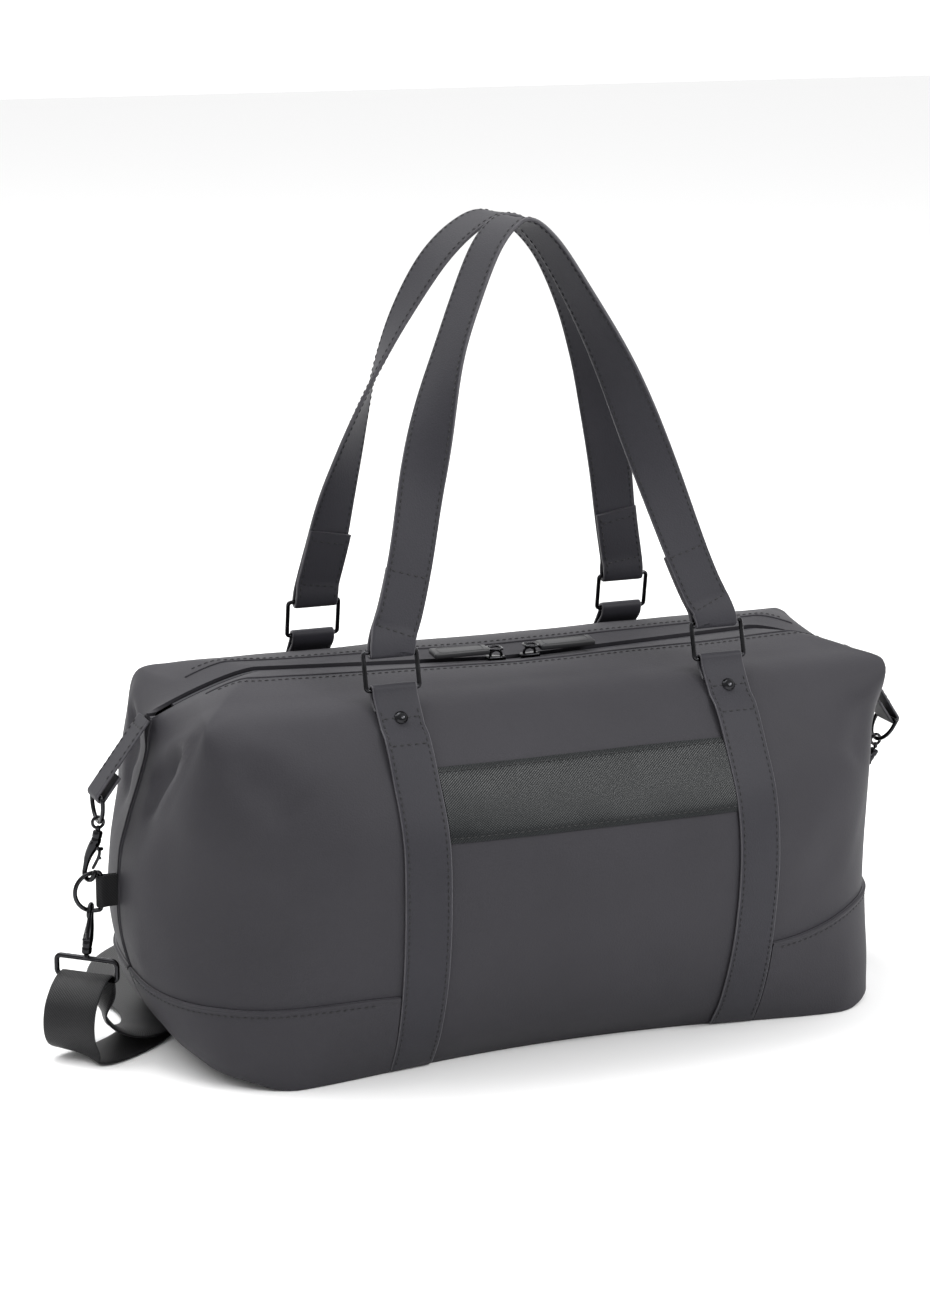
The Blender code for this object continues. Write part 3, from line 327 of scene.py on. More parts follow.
def math_node(tree, operation, a, b):
    node = tree.nodes.new("ShaderNodeMath")
    node.operation = operation
    for socket, value in zip(node.inputs, (a, b)):
        if isinstance(value, (int, float)):
            socket.default_value = value
        else:
            tree.links.new(value, socket)
    return node.outputs[0]


def scaled(tree, value, by, plus):
    """value * by + plus."""
    return math_node(tree, "ADD", math_node(tree, "MULTIPLY", value, by), plus)


def bump(tree, shader, height, strength, distance, last=None):
    node = add(tree, "ShaderNodeBump", Strength=strength, Distance=distance)
    tree.links.new(height, node.inputs["Height"])
    if last is not None:
        tree.links.new(last, node.inputs["Normal"])
    tree.links.new(node.outputs["Normal"], shader.inputs["Normal"])
    return node.outputs["Normal"]


def coated_cloth(name, color, spread, rough, grain=850.0, depth=0.00012, sheen=0.12, soft_depth=0.0012):
    """Matte coated canvas: pebbled grain, with cloudy colour and soft dents."""
    mat, tree, shader = node_tree(name, rough, specular=0.26)
    at = tree.nodes.new("ShaderNodeTexCoord").outputs["Object"]
    cloud = add(tree, "ShaderNodeTexNoise", Scale=9.0, Detail=4.0, Roughness=0.6)
    pebble = add(tree, "ShaderNodeTexNoise", Scale=grain, Detail=3.0, Roughness=0.6)
    cell = add(tree, "ShaderNodeTexVoronoi", Scale=grain * 0.9)
    soft = add(tree, "ShaderNodeTexNoise", Scale=26.0, Detail=2.0, Roughness=0.5)
    for node in (cloud, pebble, cell, soft):
        tree.links.new(at, node.inputs["Vector"])
    low = tuple(c * (1 - spread) for c in color)
    high = tuple(c * (1 + spread) for c in color)
    mixed = math_node(tree, "ADD", math_node(tree, "MULTIPLY", cloud.outputs["Fac"], 0.62),
                      math_node(tree, "MULTIPLY", pebble.outputs["Fac"], 0.38))
    tree.links.new(color_mix(tree, mixed, low, high), shader.inputs["Base Color"])
    rough_to = scaled(tree, pebble.outputs["Fac"], 0.14, rough - 0.07)
    tree.links.new(rough_to, shader.inputs["Roughness"])
    normal = bump(tree, shader, soft.outputs["Fac"], 0.35, soft_depth)
    height = math_node(tree, "ADD", pebble.outputs["Fac"], cell.outputs["Distance"])
    bump(tree, shader, height, 0.55, depth, normal)
    shader.inputs["Sheen Weight"].default_value = sheen
    shader.inputs["Sheen Roughness"].default_value = 0.5
    return mat


def woven(name, color, high, rough, period=0.0016, depth=0.00022, sheen=0.1, rib=0.0):
    """Webbing: two crossing sets of fine slanted yarns, and cross ribs where it has them."""
    mat, tree, shader = node_tree(name, rough, specular=0.22)
    at = tree.nodes.new("ShaderNodeUVMap").outputs["UV"]
    waves = []
    for turn in (0.85, -0.85):
        place = tree.nodes.new("ShaderNodeMapping")
        place.inputs["Rotation"].default_value = (0, 0, turn)
        tree.links.new(at, place.inputs["Vector"])
        wave = add(tree, "ShaderNodeTexWave", Scale=math.tau / (20 * period), Distortion=0.4)
        tree.links.new(place.outputs["Vector"], wave.inputs["Vector"])
        waves.append(wave.outputs["Fac"])
    height = math_node(tree, "ADD", math_node(tree, "MULTIPLY", waves[0], 0.75),
                       math_node(tree, "MULTIPLY", waves[1], 0.30))
    if rib:
        place = tree.nodes.new("ShaderNodeMapping")
        place.inputs["Rotation"].default_value = (0, 0, math.pi / 2)
        tree.links.new(at, place.inputs["Vector"])
        wave = add(tree, "ShaderNodeTexWave", Scale=math.tau / (20 * rib))
        tree.links.new(place.outputs["Vector"], wave.inputs["Vector"])
        height = math_node(tree, "ADD", height, math_node(tree, "MULTIPLY", wave.outputs["Fac"], 0.5))
    fuzz = add(tree, "ShaderNodeTexNoise", Scale=60.0, Detail=3.0)
    tree.links.new(at, fuzz.inputs["Vector"])
    tone = math_node(tree, "ADD", math_node(tree, "MULTIPLY", height, 0.7),
                     math_node(tree, "MULTIPLY", fuzz.outputs["Fac"], 0.3))
    tree.links.new(color_mix(tree, tone, color, high), shader.inputs["Base Color"])
    bump(tree, shader, height, 0.8, depth)
    shader.inputs["Sheen Weight"].default_value = sheen
    shader.inputs["Sheen Roughness"].default_value = 0.35
    return mat


def dark_metal(name, color=(0.026, 0.026, 0.028), rough=0.15):
    """Black nickel plating, with faint smudges and fine scratches."""
    mat, tree, shader = node_tree(name, rough, metallic=1.0)
    at = tree.nodes.new("ShaderNodeTexCoord").outputs["Object"]
    smudge = add(tree, "ShaderNodeTexNoise", Scale=120.0, Detail=4.0)
    fine = add(tree, "ShaderNodeTexNoise", Scale=1500.0, Detail=2.0)
    tree.links.new(at, smudge.inputs["Vector"])
    tree.links.new(at, fine.inputs["Vector"])
    low, high = tuple(c * 0.75 for c in color), tuple(c * 1.3 for c in color)
    tree.links.new(color_mix(tree, smudge.outputs["Fac"], low, high), shader.inputs["Base Color"])
    rough_to = scaled(tree, smudge.outputs["Fac"], 0.16, rough - 0.06)
    tree.links.new(rough_to, shader.inputs["Roughness"])
    bump(tree, shader, fine.outputs["Fac"], 0.12, 0.00005)
    return mat


def plain(name, color, spread, rough, scale=400.0, depth=0.0001):
    """Thread, paint, rubber or board: fine grain with a little colour variation."""
    mat, tree, shader = node_tree(name, rough, specular=0.4)
    at = tree.nodes.new("ShaderNodeTexCoord").outputs["Object"]
    grain = add(tree, "ShaderNodeTexNoise", Scale=scale, Detail=3.0)
    tree.links.new(at, grain.inputs["Vector"])
    low, high = tuple(c * (1 - spread) for c in color), tuple(c * (1 + spread) for c in color)
    tree.links.new(color_mix(tree, grain.outputs["Fac"], low, high), shader.inputs["Base Color"])
    bump(tree, shader, grain.outputs["Fac"], 0.4, depth)
    return mat


MATS = {
    "shell": coated_cloth("shell_cloth", (0.0250, 0.0238, 0.0285), 0.14, 0.66, sheen=0.02),
    "strap": coated_cloth("strap_cloth", (0.0205, 0.0198, 0.0250), 0.12, 0.60, sheen=0.02,
                          soft_depth=0.0003),
    "edge": plain("painted_edge", (0.050, 0.048, 0.055), 0.15, 0.45),
    "thread": plain("thread", (0.095, 0.094, 0.100), 0.2, 0.55, 2500.0),
    "dark_thread": plain("dark_thread", (0.008, 0.008, 0.009), 0.2, 0.6, 2500.0),
    "band": woven("band_weave", (0.003, 0.0035, 0.004), (0.012, 0.014, 0.015), 0.27, 0.0013, 0.00014, 0.0),
    "webbing": woven("webbing_weave", (0.005, 0.005, 0.006), (0.017, 0.017, 0.018), 0.45, 0.0014,
                     0.00022, 0.03),
    "loop": woven("loop_weave", (0.004, 0.004, 0.005), (0.012, 0.012, 0.013), 0.6, 0.0014, 0.00025, 0.06),
    "tape": woven("tape_weave", (0.008, 0.008, 0.009), (0.022, 0.022, 0.024), 0.6, 0.0009, 0.00012, 0.05),
    "metal": dark_metal("black_nickel"),
    "pull": plain("moulded_pull", (0.028, 0.028, 0.030), 0.08, 0.42, 900.0),
    "board": plain("board", (0.03, 0.03, 0.032), 0.15, 0.8),
    "lining": woven("lining_weave", (0.022, 0.022, 0.024), (0.05, 0.05, 0.054), 0.7, 0.0012, 0.0001, 0.1),
}


# ---------------------------------------------------------------- shapes
class Shape:
    """Gathers faces, with a UV in metres and a material for each part."""

    def __init__(self):
        self.verts, self.faces, self.uvs, self.mats, self.names = [], [], [], [], []

    def add(self, verts, faces, mat, uvs=None):
        base = len(self.verts)
        self.verts.extend(map(tuple, np.asarray(verts, float)))
        self.uvs.extend(map(tuple, uvs if uvs is not None else np.asarray(verts, float)[:, :2]))
        if mat not in self.names:
            self.names.append(mat)
        at = self.names.index(mat)
        self.faces.extend(tuple(i + base for i in face) for face in faces)
        self.mats.extend([at] * len(faces))
        return self

    def object(self, name, body, slot, replaces=(), sharp=50, weld=True):
        mesh = bpy.data.meshes.new(name)
        mesh.from_pydata(self.verts, [], self.faces)
        layer = mesh.uv_layers.new(name="UVMap")
        loops = np.empty(len(mesh.loops), np.int32)
        mesh.loops.foreach_get("vertex_index", loops)
        layer.data.foreach_set("uv", np.array(self.uvs)[loops].ravel())
        for mat in self.names:
            mesh.materials.append(MATS[mat])
        mesh.polygons.foreach_set("material_index", self.mats)
        if weld:
            work = bmesh.new()
            work.from_mesh(mesh)
            bmesh.ops.remove_doubles(work, verts=work.verts, dist=1e-6)
            bmesh.ops.recalc_face_normals(work, faces=work.faces)
            work.to_mesh(mesh)
            work.free()
        mesh.shade_smooth()
        mesh.set_sharp_from_angle(angle=math.radians(sharp))
        obj = bpy.data.objects.new(name, mesh)
        bpy.context.scene.collection.objects.link(obj)
        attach(obj, body)
        if replaces:
            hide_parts(*replaces)
        return obj


def grid_faces(rows, cols, closed_cols=False):
    faces = []
    for i in range(rows - 1):
        for j in range(cols if closed_cols else cols - 1):
            k = (j + 1) % cols
            faces.append((i * cols + j, i * cols + k, (i + 1) * cols + k, (i + 1) * cols + j))
    return faces


def unit(v):
    return v / np.maximum(np.linalg.norm(v, axis=-1, keepdims=True), 1e-12)


def grid_uv(grid):
    """Distances along and up a grid, in metres."""
    across = np.linalg.norm(np.diff(grid, axis=1), axis=2).mean(0)
    up = np.linalg.norm(np.diff(grid, axis=0), axis=2).mean(1)
    u = np.concatenate([[0], np.cumsum(across)])
    v = np.concatenate([[0], np.cumsum(up)])
    return np.stack(np.meshgrid(u, v), -1).reshape(-1, 2)


def add_sheet(shape, inner, outer, mat, rim=None):
    """A closed sheet between two grids. The rim may have its own material."""
    rows, cols = inner.shape[:2]
    uv = grid_uv(outer)
    shape.add(outer.reshape(-1, 3), grid_faces(rows, cols), mat, uv)
    shape.add(inner.reshape(-1, 3), [f[::-1] for f in grid_faces(rows, cols)], mat, uv)
    edge = [(0, j) for j in range(cols)] + [(i, cols - 1) for i in range(1, rows)]
    edge += [(rows - 1, j) for j in range(cols - 2, -1, -1)] + [(i, 0) for i in range(rows - 2, 0, -1)]
    low = np.array([inner[i, j] for i, j in edge])
    high = np.array([outer[i, j] for i, j in edge])
    n = len(edge)
    uvs = np.array([uv[i * cols + j] for i, j in edge])
    shape.add(np.concatenate([low, high]), [(k, (k + 1) % n, (k + 1) % n + n, k + n) for k in range(n)],
              rim or mat, np.concatenate([uvs, uvs]))
    return shape


ACROSS = np.array([-1, -0.985, -0.95, -0.82, -0.6, -0.3, 0, 0.3, 0.6, 0.82, 0.95, 0.985, 1])
PLUMP = np.array([0.25, 0.62, 0.90, 1, 1, 1, 1, 1, 1, 1, 0.90, 0.62, 0.25])


def add_band(shape, middle, thickness, mat, edge="edge", normals=None):
    """A flat band with rounded edges: middle holds points along it by points across it."""
    if normals is None:
        along = np.gradient(middle, axis=0)
        across = np.gradient(middle, axis=1)
        normals = unit(np.cross(across, along))
    half = (thickness / 2 * PLUMP)[None, :, None]
    top, low = middle + normals * half, middle - normals * half
    rows, cols = middle.shape[:2]
    uv = grid_uv(middle)
    faces = grid_faces(rows, cols)
    edge_cols = {0, 1, cols - 3, cols - 2}
    for grid, turn in ((top, False), (low, True)):
        plain_faces = [f for k, f in enumerate(faces) if k % (cols - 1) not in edge_cols]
        edge_faces = [f for k, f in enumerate(faces) if k % (cols - 1) in edge_cols]
        for part, name in ((plain_faces, mat), (edge_faces, edge)):
            shape.add(grid.reshape(-1, 3), [f[::-1] for f in part] if turn else part, name, uv)
    ring = [(i, 0) for i in range(rows)] + [(rows - 1, j) for j in range(1, cols)]
    ring += [(i, cols - 1) for i in range(rows - 2, -1, -1)] + [(0, j) for j in range(cols - 2, 0, -1)]
    n = len(ring)
    verts = np.array([low[i, j] for i, j in ring] + [top[i, j] for i, j in ring])
    shape.add(verts, [(k, (k + 1) % n, (k + 1) % n + n, k + n) for k in range(n)], edge)
    return top


DOME = ((0.98, 0.12), (0.8, 0.6), (0.45, 0.89))  # a bar's rounded end: how far out and how wide


def add_tube(shape, points, radii, mat, sides=16, closed=False, flat=1.0, dome=True):
    """A round or flattened bar along points, with domed ends."""
    points = np.array(points, float)
    radii = np.broadcast_to(np.array(radii, float), (len(points),)).copy()
    if dome and not closed:
        first, last = unit(points[0] - points[1]), unit(points[-1] - points[-2])
        caps_low = [(points[0] + first * radii[0] * s, radii[0] * r) for s, r in DOME]
        caps_high = [(points[-1] + last * radii[-1] * s, radii[-1] * r) for s, r in DOME[::-1]]
        points = np.array([p for p, _ in caps_low] + list(points) + [p for p, _ in caps_high])
        radii = np.array([r for _, r in caps_low] + list(radii) + [r for _, r in caps_high])
    if closed:
        tangent = unit(np.roll(points, -1, 0) - np.roll(points, 1, 0))
    else:
        tangent = unit(np.gradient(points, axis=0))
    start = np.array([0.0, 0, 1]) if abs(tangent[0][2]) < 0.9 else np.array([1.0, 0, 0])
    side = unit(np.cross(tangent[0], start))
    rings = []
    angles = np.arange(sides) * math.tau / sides
    for p, t, r in zip(points, tangent, radii):
        side = unit(side - t * side.dot(t))
        other = np.cross(t, side)
        rings.append(p + r * (np.cos(angles)[:, None] * side + np.sin(angles)[:, None] * other * flat))
    rings = np.array(rings)
    count = len(rings)
    faces = grid_faces(count, sides, True)
    if closed:
        faces += [((count - 1) * sides + j, (count - 1) * sides + (j + 1) % sides, (j + 1) % sides, j)
                  for j in range(sides)]
    else:
        faces += [tuple(range(sides))[::-1], tuple((count - 1) * sides + j for j in range(sides))]
    length = np.concatenate([[0], np.cumsum(np.linalg.norm(np.diff(points, axis=0), axis=1))])
    uv = np.stack([np.tile(angles * 0.003, count), np.repeat(length, sides)], 1)
    return shape.add(rings.reshape(-1, 3), faces, mat, uv)


def add_lathe(shape, profile, place, axis, mat, steps=28):
    turn = Vector((0, 0, 1)).rotation_difference(Vector(axis)).to_matrix()
    verts = []
    for radius, height in profile:
        for k in range(steps):
            angle = math.tau * k / steps
            verts.append(turn @ Vector((radius * math.cos(angle), radius * math.sin(angle), height))
                         + Vector(place))
    faces = grid_faces(len(profile), steps, True)
    faces += [tuple(range(steps))[::-1], tuple((len(profile) - 1) * steps + j for j in range(steps))]
    return shape.add(verts, faces, mat)


# A stitch's rings: place along it, width, and height over the cloth in radii.
STITCH = ((0, 0.3, -0.9), (0.14, 0.9, 0.05), (0.5, 1.1, 0.35), (0.86, 0.9, 0.05), (1, 0.3, -0.9))


def add_stitches(shape, line, normals, pitch=0.0046, length=0.0033, radius=0.00042, mat="dark_thread"):
    """A row of stitches lying on a line of points."""
    line, normals = np.array(line), np.array(normals)
    run = np.concatenate([[0], np.cumsum(np.linalg.norm(np.diff(line, axis=0), axis=1))])
    count = max(1, int(run[-1] / pitch))
    starts = (np.arange(count) + 0.5) * run[-1] / count
    angles = np.arange(5) * math.tau / 5
    for s in starts:
        ends = [np.array([np.interp(s + d, run, line[:, k]) for k in range(3)])
                for d in (-length / 2, length / 2)]
        n = unit(np.array([np.interp(s, run, normals[:, k]) for k in range(3)]))
        t = unit(ends[1] - ends[0])
        b = np.cross(t, n)
        rings = []
        for share, scale, lift in STITCH:
            centre = ends[0] + (ends[1] - ends[0]) * share + n * radius * lift
            around = np.cos(angles)[:, None] * b + np.sin(angles)[:, None] * n
            rings.append(centre + radius * scale * around)
        shape.add(np.array(rings).reshape(-1, 3), grid_faces(5, 5, True), mat)
    return shape


def rounded_block(size, radius, segments=3):
    work = bmesh.new()
    bmesh.ops.create_cube(work, size=1.0)
    for v in work.verts:
        v.co = Vector(v.co[i] * size[i] for i in range(3))
    bmesh.ops.bevel(work, geom=work.edges[:], offset=radius, segments=segments, affect="EDGES", profile=0.5)
    verts = [tuple(v.co) for v in work.verts]
    work.verts.index_update()
    faces = [tuple(v.index for v in f.verts) for f in work.faces]
    work.free()
    return np.array(verts), faces


# ---------------------------------------------------------------- the fine shell
def ridge(points, start, end, width, height, taper=0.25):
    """How far a fold between two places lifts each point, smoothed off towards the fold's ends."""
    start, end = np.array(start), np.array(end)
    axis = end - start
    t = ((points - start) @ axis) / (axis @ axis)
    near = start + np.clip(t, 0, 1)[..., None] * axis
    gap = np.linalg.norm(points - near, axis=-1)
    fade = np.clip(np.minimum(t, 1 - t) / taper, 0, 1) if taper else np.ones_like(t)
    return height * np.exp(-((gap / width) ** 2)) * fade * fade * (3 - 2 * fade)


def cloudy(points, scale, seed):
    """Smooth noise at each point."""
    flat = points.reshape(-1, 3) * scale + seed
    return np.array([noise.noise(Vector(p)) for p in flat]).reshape(points.shape[:-1])


FOLDS = (
    # start, end, half width, height (a dent where it is below nothing)
    ((-0.2480, -0.074, 0.2340), (-0.2720, -0.034, 0.1620), 0.0060, 0.0034),
    ((-0.2530, -0.062, 0.2260), (-0.2760, -0.022, 0.1620), 0.0075, -0.0050),
    ((-0.2440, -0.081, 0.2360), (-0.2580, -0.024, 0.2080), 0.0060, 0.0026),
    ((-0.2540, -0.056, 0.2130), (-0.2660, -0.018, 0.1900), 0.0090, -0.0046),
    ((-0.2340, -0.096, 0.2200), (-0.1960, -0.128, 0.1850), 0.0150, -0.0044),
    ((-0.2300, -0.094, 0.2330), (-0.1900, -0.112, 0.2250), 0.0100, 0.0018),
    ((-0.2150, -0.116, 0.2000), (-0.1780, -0.142, 0.1400), 0.0260, -0.0030),
    ((-0.2550, -0.070, 0.1800), (-0.2700, -0.060, 0.1000), 0.0160, -0.0018),
    ((-0.1500, -0.148, 0.1200), (-0.2250, -0.125, 0.1600), 0.0300, 0.0016),
    ((0.2440, -0.082, 0.2330), (0.2380, -0.070, 0.1750), 0.0070, 0.0022),
    ((0.2300, -0.096, 0.2200), (0.2050, -0.124, 0.1780), 0.0160, -0.0036),
    ((0.1600, -0.146, 0.1650), (0.2220, -0.118, 0.1300), 0.0280, 0.0018),
    ((0.1500, -0.136, 0.1900), (0.1900, -0.136, 0.1000), 0.0220, -0.0016),
    ((-0.0600, -0.110, 0.2260), (0.0600, -0.112, 0.2240), 0.0180, -0.0012),
)


def fine_shell(face):
    grid = shell_front(8, 44, 10)
    normals = normals_of(grid)
    lift = 0.0012 * cloudy(grid, 11.0, 3.1 if face == "front" else 9.7)
    lift += 0.0005 * cloudy(grid, 32.0, 5.3 if face == "front" else 1.9)
    for start, end, width, height in FOLDS:
        lift += ridge(grid, start, end, width, height)
    rows = np.linspace(0, 1, grid.shape[0])[:, None]
    hold = smooth_step(rows, 0.0, 0.06) * (1 - smooth_step(rows, 0.90, 0.99))
    ends = np.minimum(np.arange(grid.shape[1]), np.arange(grid.shape[1])[::-1])[None, :]
    hold = hold * smooth_step(ends, 0, 6)
    return grid + normals * (lift * hold)[..., None]


SURFACES = {face: fine_shell(face) for face in ("front", "back")}


def on_side(points, face):
    return points if face == "front" else points * np.array([1, -1, 1])


def build_panels():
    for face, grid in SURFACES.items():
        shape = Shape()
        inner = offset(grid, -0.0026)
        inner[0, :, 2] = grid[0, :, 2]
        a, b = (inner, grid) if face == "front" else (mirrored(inner), mirrored(grid))
        add_sheet(shape, a, b, "shell")
        body = shape.object(f"{face}_panel_cloth", "bag", "shell_fabric", (f"{face}_panel",), sharp=60)
        # A welt seam and its stitches run along the zip, a little way down the top.
        seam = Shape()
        normals = normals_of(grid)
        count = grid.shape[0]
        row = count - 7
        line = grid[row, 12:-12] + normals[row, 12:-12] * 0.0002
        add_tube(seam, on_side(line, face), 0.0007, "shell", 8)
        row = count - 9
        line = grid[row, 14:-14] + normals[row, 14:-14] * 0.0001
        add_stitches(seam, on_side(line, face), on_side(normals[row, 14:-14], face), mat="dark_thread")
        # The end seam's rolled edge.
        for j in (0, -1):
            line = grid[2:-2, j] + np.array([0, -0.0006, 0])
            add_tube(seam, on_side(line, face), 0.0009, "shell", 8)
        seam.object(f"{face}_panel_seams", "bag", "shell_fabric")


def build_corner_panels():
    edge = STRAP_X + STRAP_W / 2 + 0.0006
    for face, grid in SURFACES.items():
        for side, name in ((-1, "left"), (1, "right")):
            cols = [j for j in range(grid.shape[1]) if (side * grid[:40, j, 0] > edge + 0.001).all()]
            if side < 0:
                cols = cols[::-1]
            lines = [profile_at(grid, side * edge)] + [grid[:, j] for j in cols]
            near_hem = np.array([0.0060, 0.0045, 0.0032, 0.0022, 0.0013, 0.0006, 0.0])
            rows, patch = 18 + len(near_hem), []
            for line in lines:
                reach = smooth_step(abs(line[20, 0]), edge, 0.238)
                high = CORNER_HIGH[side][0] + (CORNER_HIGH[side][1] - CORNER_HIGH[side][0]) * reach
                part = line[: 2 + np.argmax(line[:, 2] > high)]
                heights = np.linspace(part[0, 2] + 0.0006, high - 0.008, 18)
                heights = np.concatenate([heights, high - near_hem])
                patch.append(np.stack([np.interp(heights, part[:, 2], part[:, k]) for k in range(3)], 1))
            patch = np.array(patch).transpose(1, 0, 2)
            if side < 0:
                patch = patch[:, ::-1]
            inner, outer = offset(patch, 0.0003), offset(patch, 0.0020)
            roll = np.array([1.0] * (rows - 7) + [1.0, 0.92, 1.0, 1.25, 1.45, 1.25, 0.5])[:, None, None]
            outer = inner + (outer - inner) * roll
            inner[0, :, 2] = outer[0, :, 2] = patch[0, :, 2]
            normals = normals_of(patch)
            if face == "back":
                a, b = mirrored(inner), mirrored(outer)
            else:
                a, b = inner, outer
            shape = add_sheet(Shape(), a, b, "shell", "edge")
            line = outer[rows - 6, 1:-1]
            add_stitches(shape, on_side(line, face), on_side(normals[rows - 6, 1:-1], face))
            shape.object(f"corner_cloth_{face}_{name}", "bag", "shell_fabric",
                         (f"corner_panel_{face}_{name}",), sharp=60)


def build_band():
    grid = SURFACES["front"]
    half = STRAP_X - STRAP_W / 2 - 0.0005
    xs = np.linspace(-half, half, 90)
    zs = np.linspace(BAND_LOW, BAND_HIGH, 16)
    patch = np.array([[point_at(grid, x, z) for x in xs] for z in zs])
    plump = np.array([0.4, 0.9] + [1.0] * (len(zs) - 4) + [0.9, 0.4])[:, None, None]
    inner = offset(patch, 0.0004)
    outer = inner + (offset(patch, 0.0004 + BAND_T) - inner) * plump
    shape = add_sheet(Shape(), inner, outer, "band")
    normals = normals_of(patch)
    for row in (1, len(zs) - 2):
        add_stitches(shape, outer[row], normals[row], mat="dark_thread")
    shape.object("front_band_webbing", "bag", "webbing", ("front_band",))


# ---------------------------------------------------------------- straps and rivets
def strap_rows(grid, x):
    """The strap's middle line at one place across it, up the outside of the bag to below the ring."""
    line = profile_at(grid, x)
    slope = np.gradient(line[:, 1:], axis=0)
    out = unit(np.stack([slope[:, 1], -slope[:, 0]], 1))
    out *= np.sign(-out[:, :1] + 1e-12)
    low = np.argmax(line[:, 2] > 0.226)
    lift = 0.0006 + STRAP_T / 2 + 0.0024 * smooth_step(line[:low, 2], 0.195, 0.224)
    outside = line[:low, 1:] + out[:low] * lift[:, None]
    outside[0] = (outside[0][0], 0.0014)
    return outside


def strap_fold():
    wrap = WIRE_R + 0.00035 + STRAP_T / 2
    bend = arc((-RING_Y, RING_Z), wrap, 170, 0, 12)
    low, high = np.array(RIVET_SPAN)
    up = np.array([low, (low + high) / 2, high, (-0.0866, 0.2500)])
    down = np.array([(-0.0803, 0.2500), (-0.0812, 0.2480), (-0.0835, 0.2455), (-0.0860, 0.2432),
                     (-0.0886, 0.2409)])
    return np.concatenate([up, bend, down])


RIVET_HEAD = ((0.0001, 0), (0.0044, 0), (0.0045, 0.0004), (0.0043, 0.0008), (0.0040, 0.0010),
              (0.0037, 0.0016), (0.0030, 0.0022), (0.0020, 0.0026), (0.0010, 0.0028), (0.0001, 0.0028))


def build_straps():
    for face, grid in SURFACES.items():
        for side, name in ((-1, "left"), (1, "right")):
            xs = side * STRAP_X + ACROSS * STRAP_W / 2
            outside = np.array([strap_rows(grid, x) for x in xs])
            fold = np.broadcast_to(strap_fold(), (len(xs), len(strap_fold()), 2))
            path = np.concatenate([outside, fold], axis=1)
            x_part = np.broadcast_to(xs[:, None, None], (*path.shape[:2], 1))
            middle = np.concatenate([x_part, path], axis=2).transpose(1, 0, 2)
            middle = on_side(middle, face)
            if face == "front":
                middle = middle[:, ::-1]
            shape = Shape()
            top = add_band(shape, middle, STRAP_T, "strap")
            along, across = np.gradient(middle, axis=0), np.gradient(middle, axis=1)
            normals = unit(np.cross(across, along))
            flip = 1 if normals[20, 6, 1] * (-1 if face == "front" else 1) > 0 else -1
            shown = outside.shape[1] + 3
            for col in (3, 9):
                line = middle[2:shown, col] + flip * normals[2:shown, col] * STRAP_T / 2
                add_stitches(shape, line, flip * normals[2:shown, col])
            cross = outside.shape[1] - 2
            for row in (cross, cross + 3):
                line = middle[row, 3:10] + flip * normals[row, 3:10] * STRAP_T / 2
                add_stitches(shape, line, flip * normals[row, 3:10])
            shape.object(f"strap_cloth_{face}_{name}", "bag", "strap_fabric", (f"strap_{face}_{name}",))
            low, high = np.array(RIVET_SPAN)
            along = (high - low) / np.linalg.norm(high - low)
            out = np.array([-along[1], along[0]])
            y, z = (low + high) / 2 + out * (STRAP_T / 2 + 0.0002)
            sign = 1 if face == "front" else -1
            name_of_head = f"rivet_head_{face}_{name}"
            place, axis = (side * STRAP_X, y * sign, z), (0, out[0] * sign, out[1])
            add_lathe(Shape(), RIVET_HEAD, place, axis, "metal").object(
                name_of_head, "bag", "hardware", (f"rivet_{face}_{name}",), sharp=35)


# ---------------------------------------------------------------- handles and their rings
def ring_top(face):
    sign = -1 if face == "front" else 1
    lean = math.atan(LEAN[face])
    drop = 2 * RING_HALF_H
    return sign * (RING_Y - math.sin(lean) * drop), RING_Z + math.cos(lean) * drop


def build_handle_rings():
    for face in ("front", "back"):
        sign = -1 if face == "front" else 1
        lean = math.atan(LEAN[face])
        for side, name in ((-1, "left"), (1, "right")):
            line = rounded_box_line(RING_HALF_W, RING_HALF_H, RING_CORNER, 7)
            points = [(side * STRAP_X + u, sign * RING_Y - sign * math.sin(lean) * (v + RING_HALF_H),
                       RING_Z + math.cos(lean) * (v + RING_HALF_H)) for u, v in line]
            add_tube(Shape(), points, WIRE_R, "metal", 18, closed=True).object(
                f"ring_wire_{face}_{name}", f"ring_{face}_{name}", "hardware",
                (f"handle_ring_{face}_{name}",))


def handle_line(face):
    y0, z0 = ring_top(face)
    sign = -1 if face == "front" else 1
    half = HANDLE_HALF[face]
    shape = [(-x, z) for x, z in half] + [(x, z) for x, z in half[-2::-1]]
    xz = smooth_line(shape, 12)
    y = y0 - sign * LEAN[face] * (xz[:, 1] - z0)
    line = np.stack([xz[:, 0], y, xz[:, 1]], 1)
    x, z = line[:, 0], line[:, 2]
    left, right = x <= 0, x > 0
    turn = np.zeros(len(line))
    if face == "front":
        turn[left] = 90 - 72 * smooth_step(z[left], 0.355, 0.475)
        turn[right] = 90 - 72 * smooth_step(z[right], 0.300, 0.530)
    else:
        turn[left] = -90 + 110 * smooth_step(z[left], 0.290, 0.540)
        turn[right] = 90 - 70 * smooth_step(z[right], 0.300, 0.540)
    turn = np.convolve(np.pad(turn, 4, mode="edge"), np.ones(9) / 9, "valid")
    return line, np.radians(turn)


def handle_stand(rise, wrap):
    doubled = (HANDLE_T + GAP) / 2
    near = wrap + (doubled - wrap) * smooth_step(rise, 0.004, 0.016)
    return near * (1 - smooth_step(rise, 0.055, 0.11))


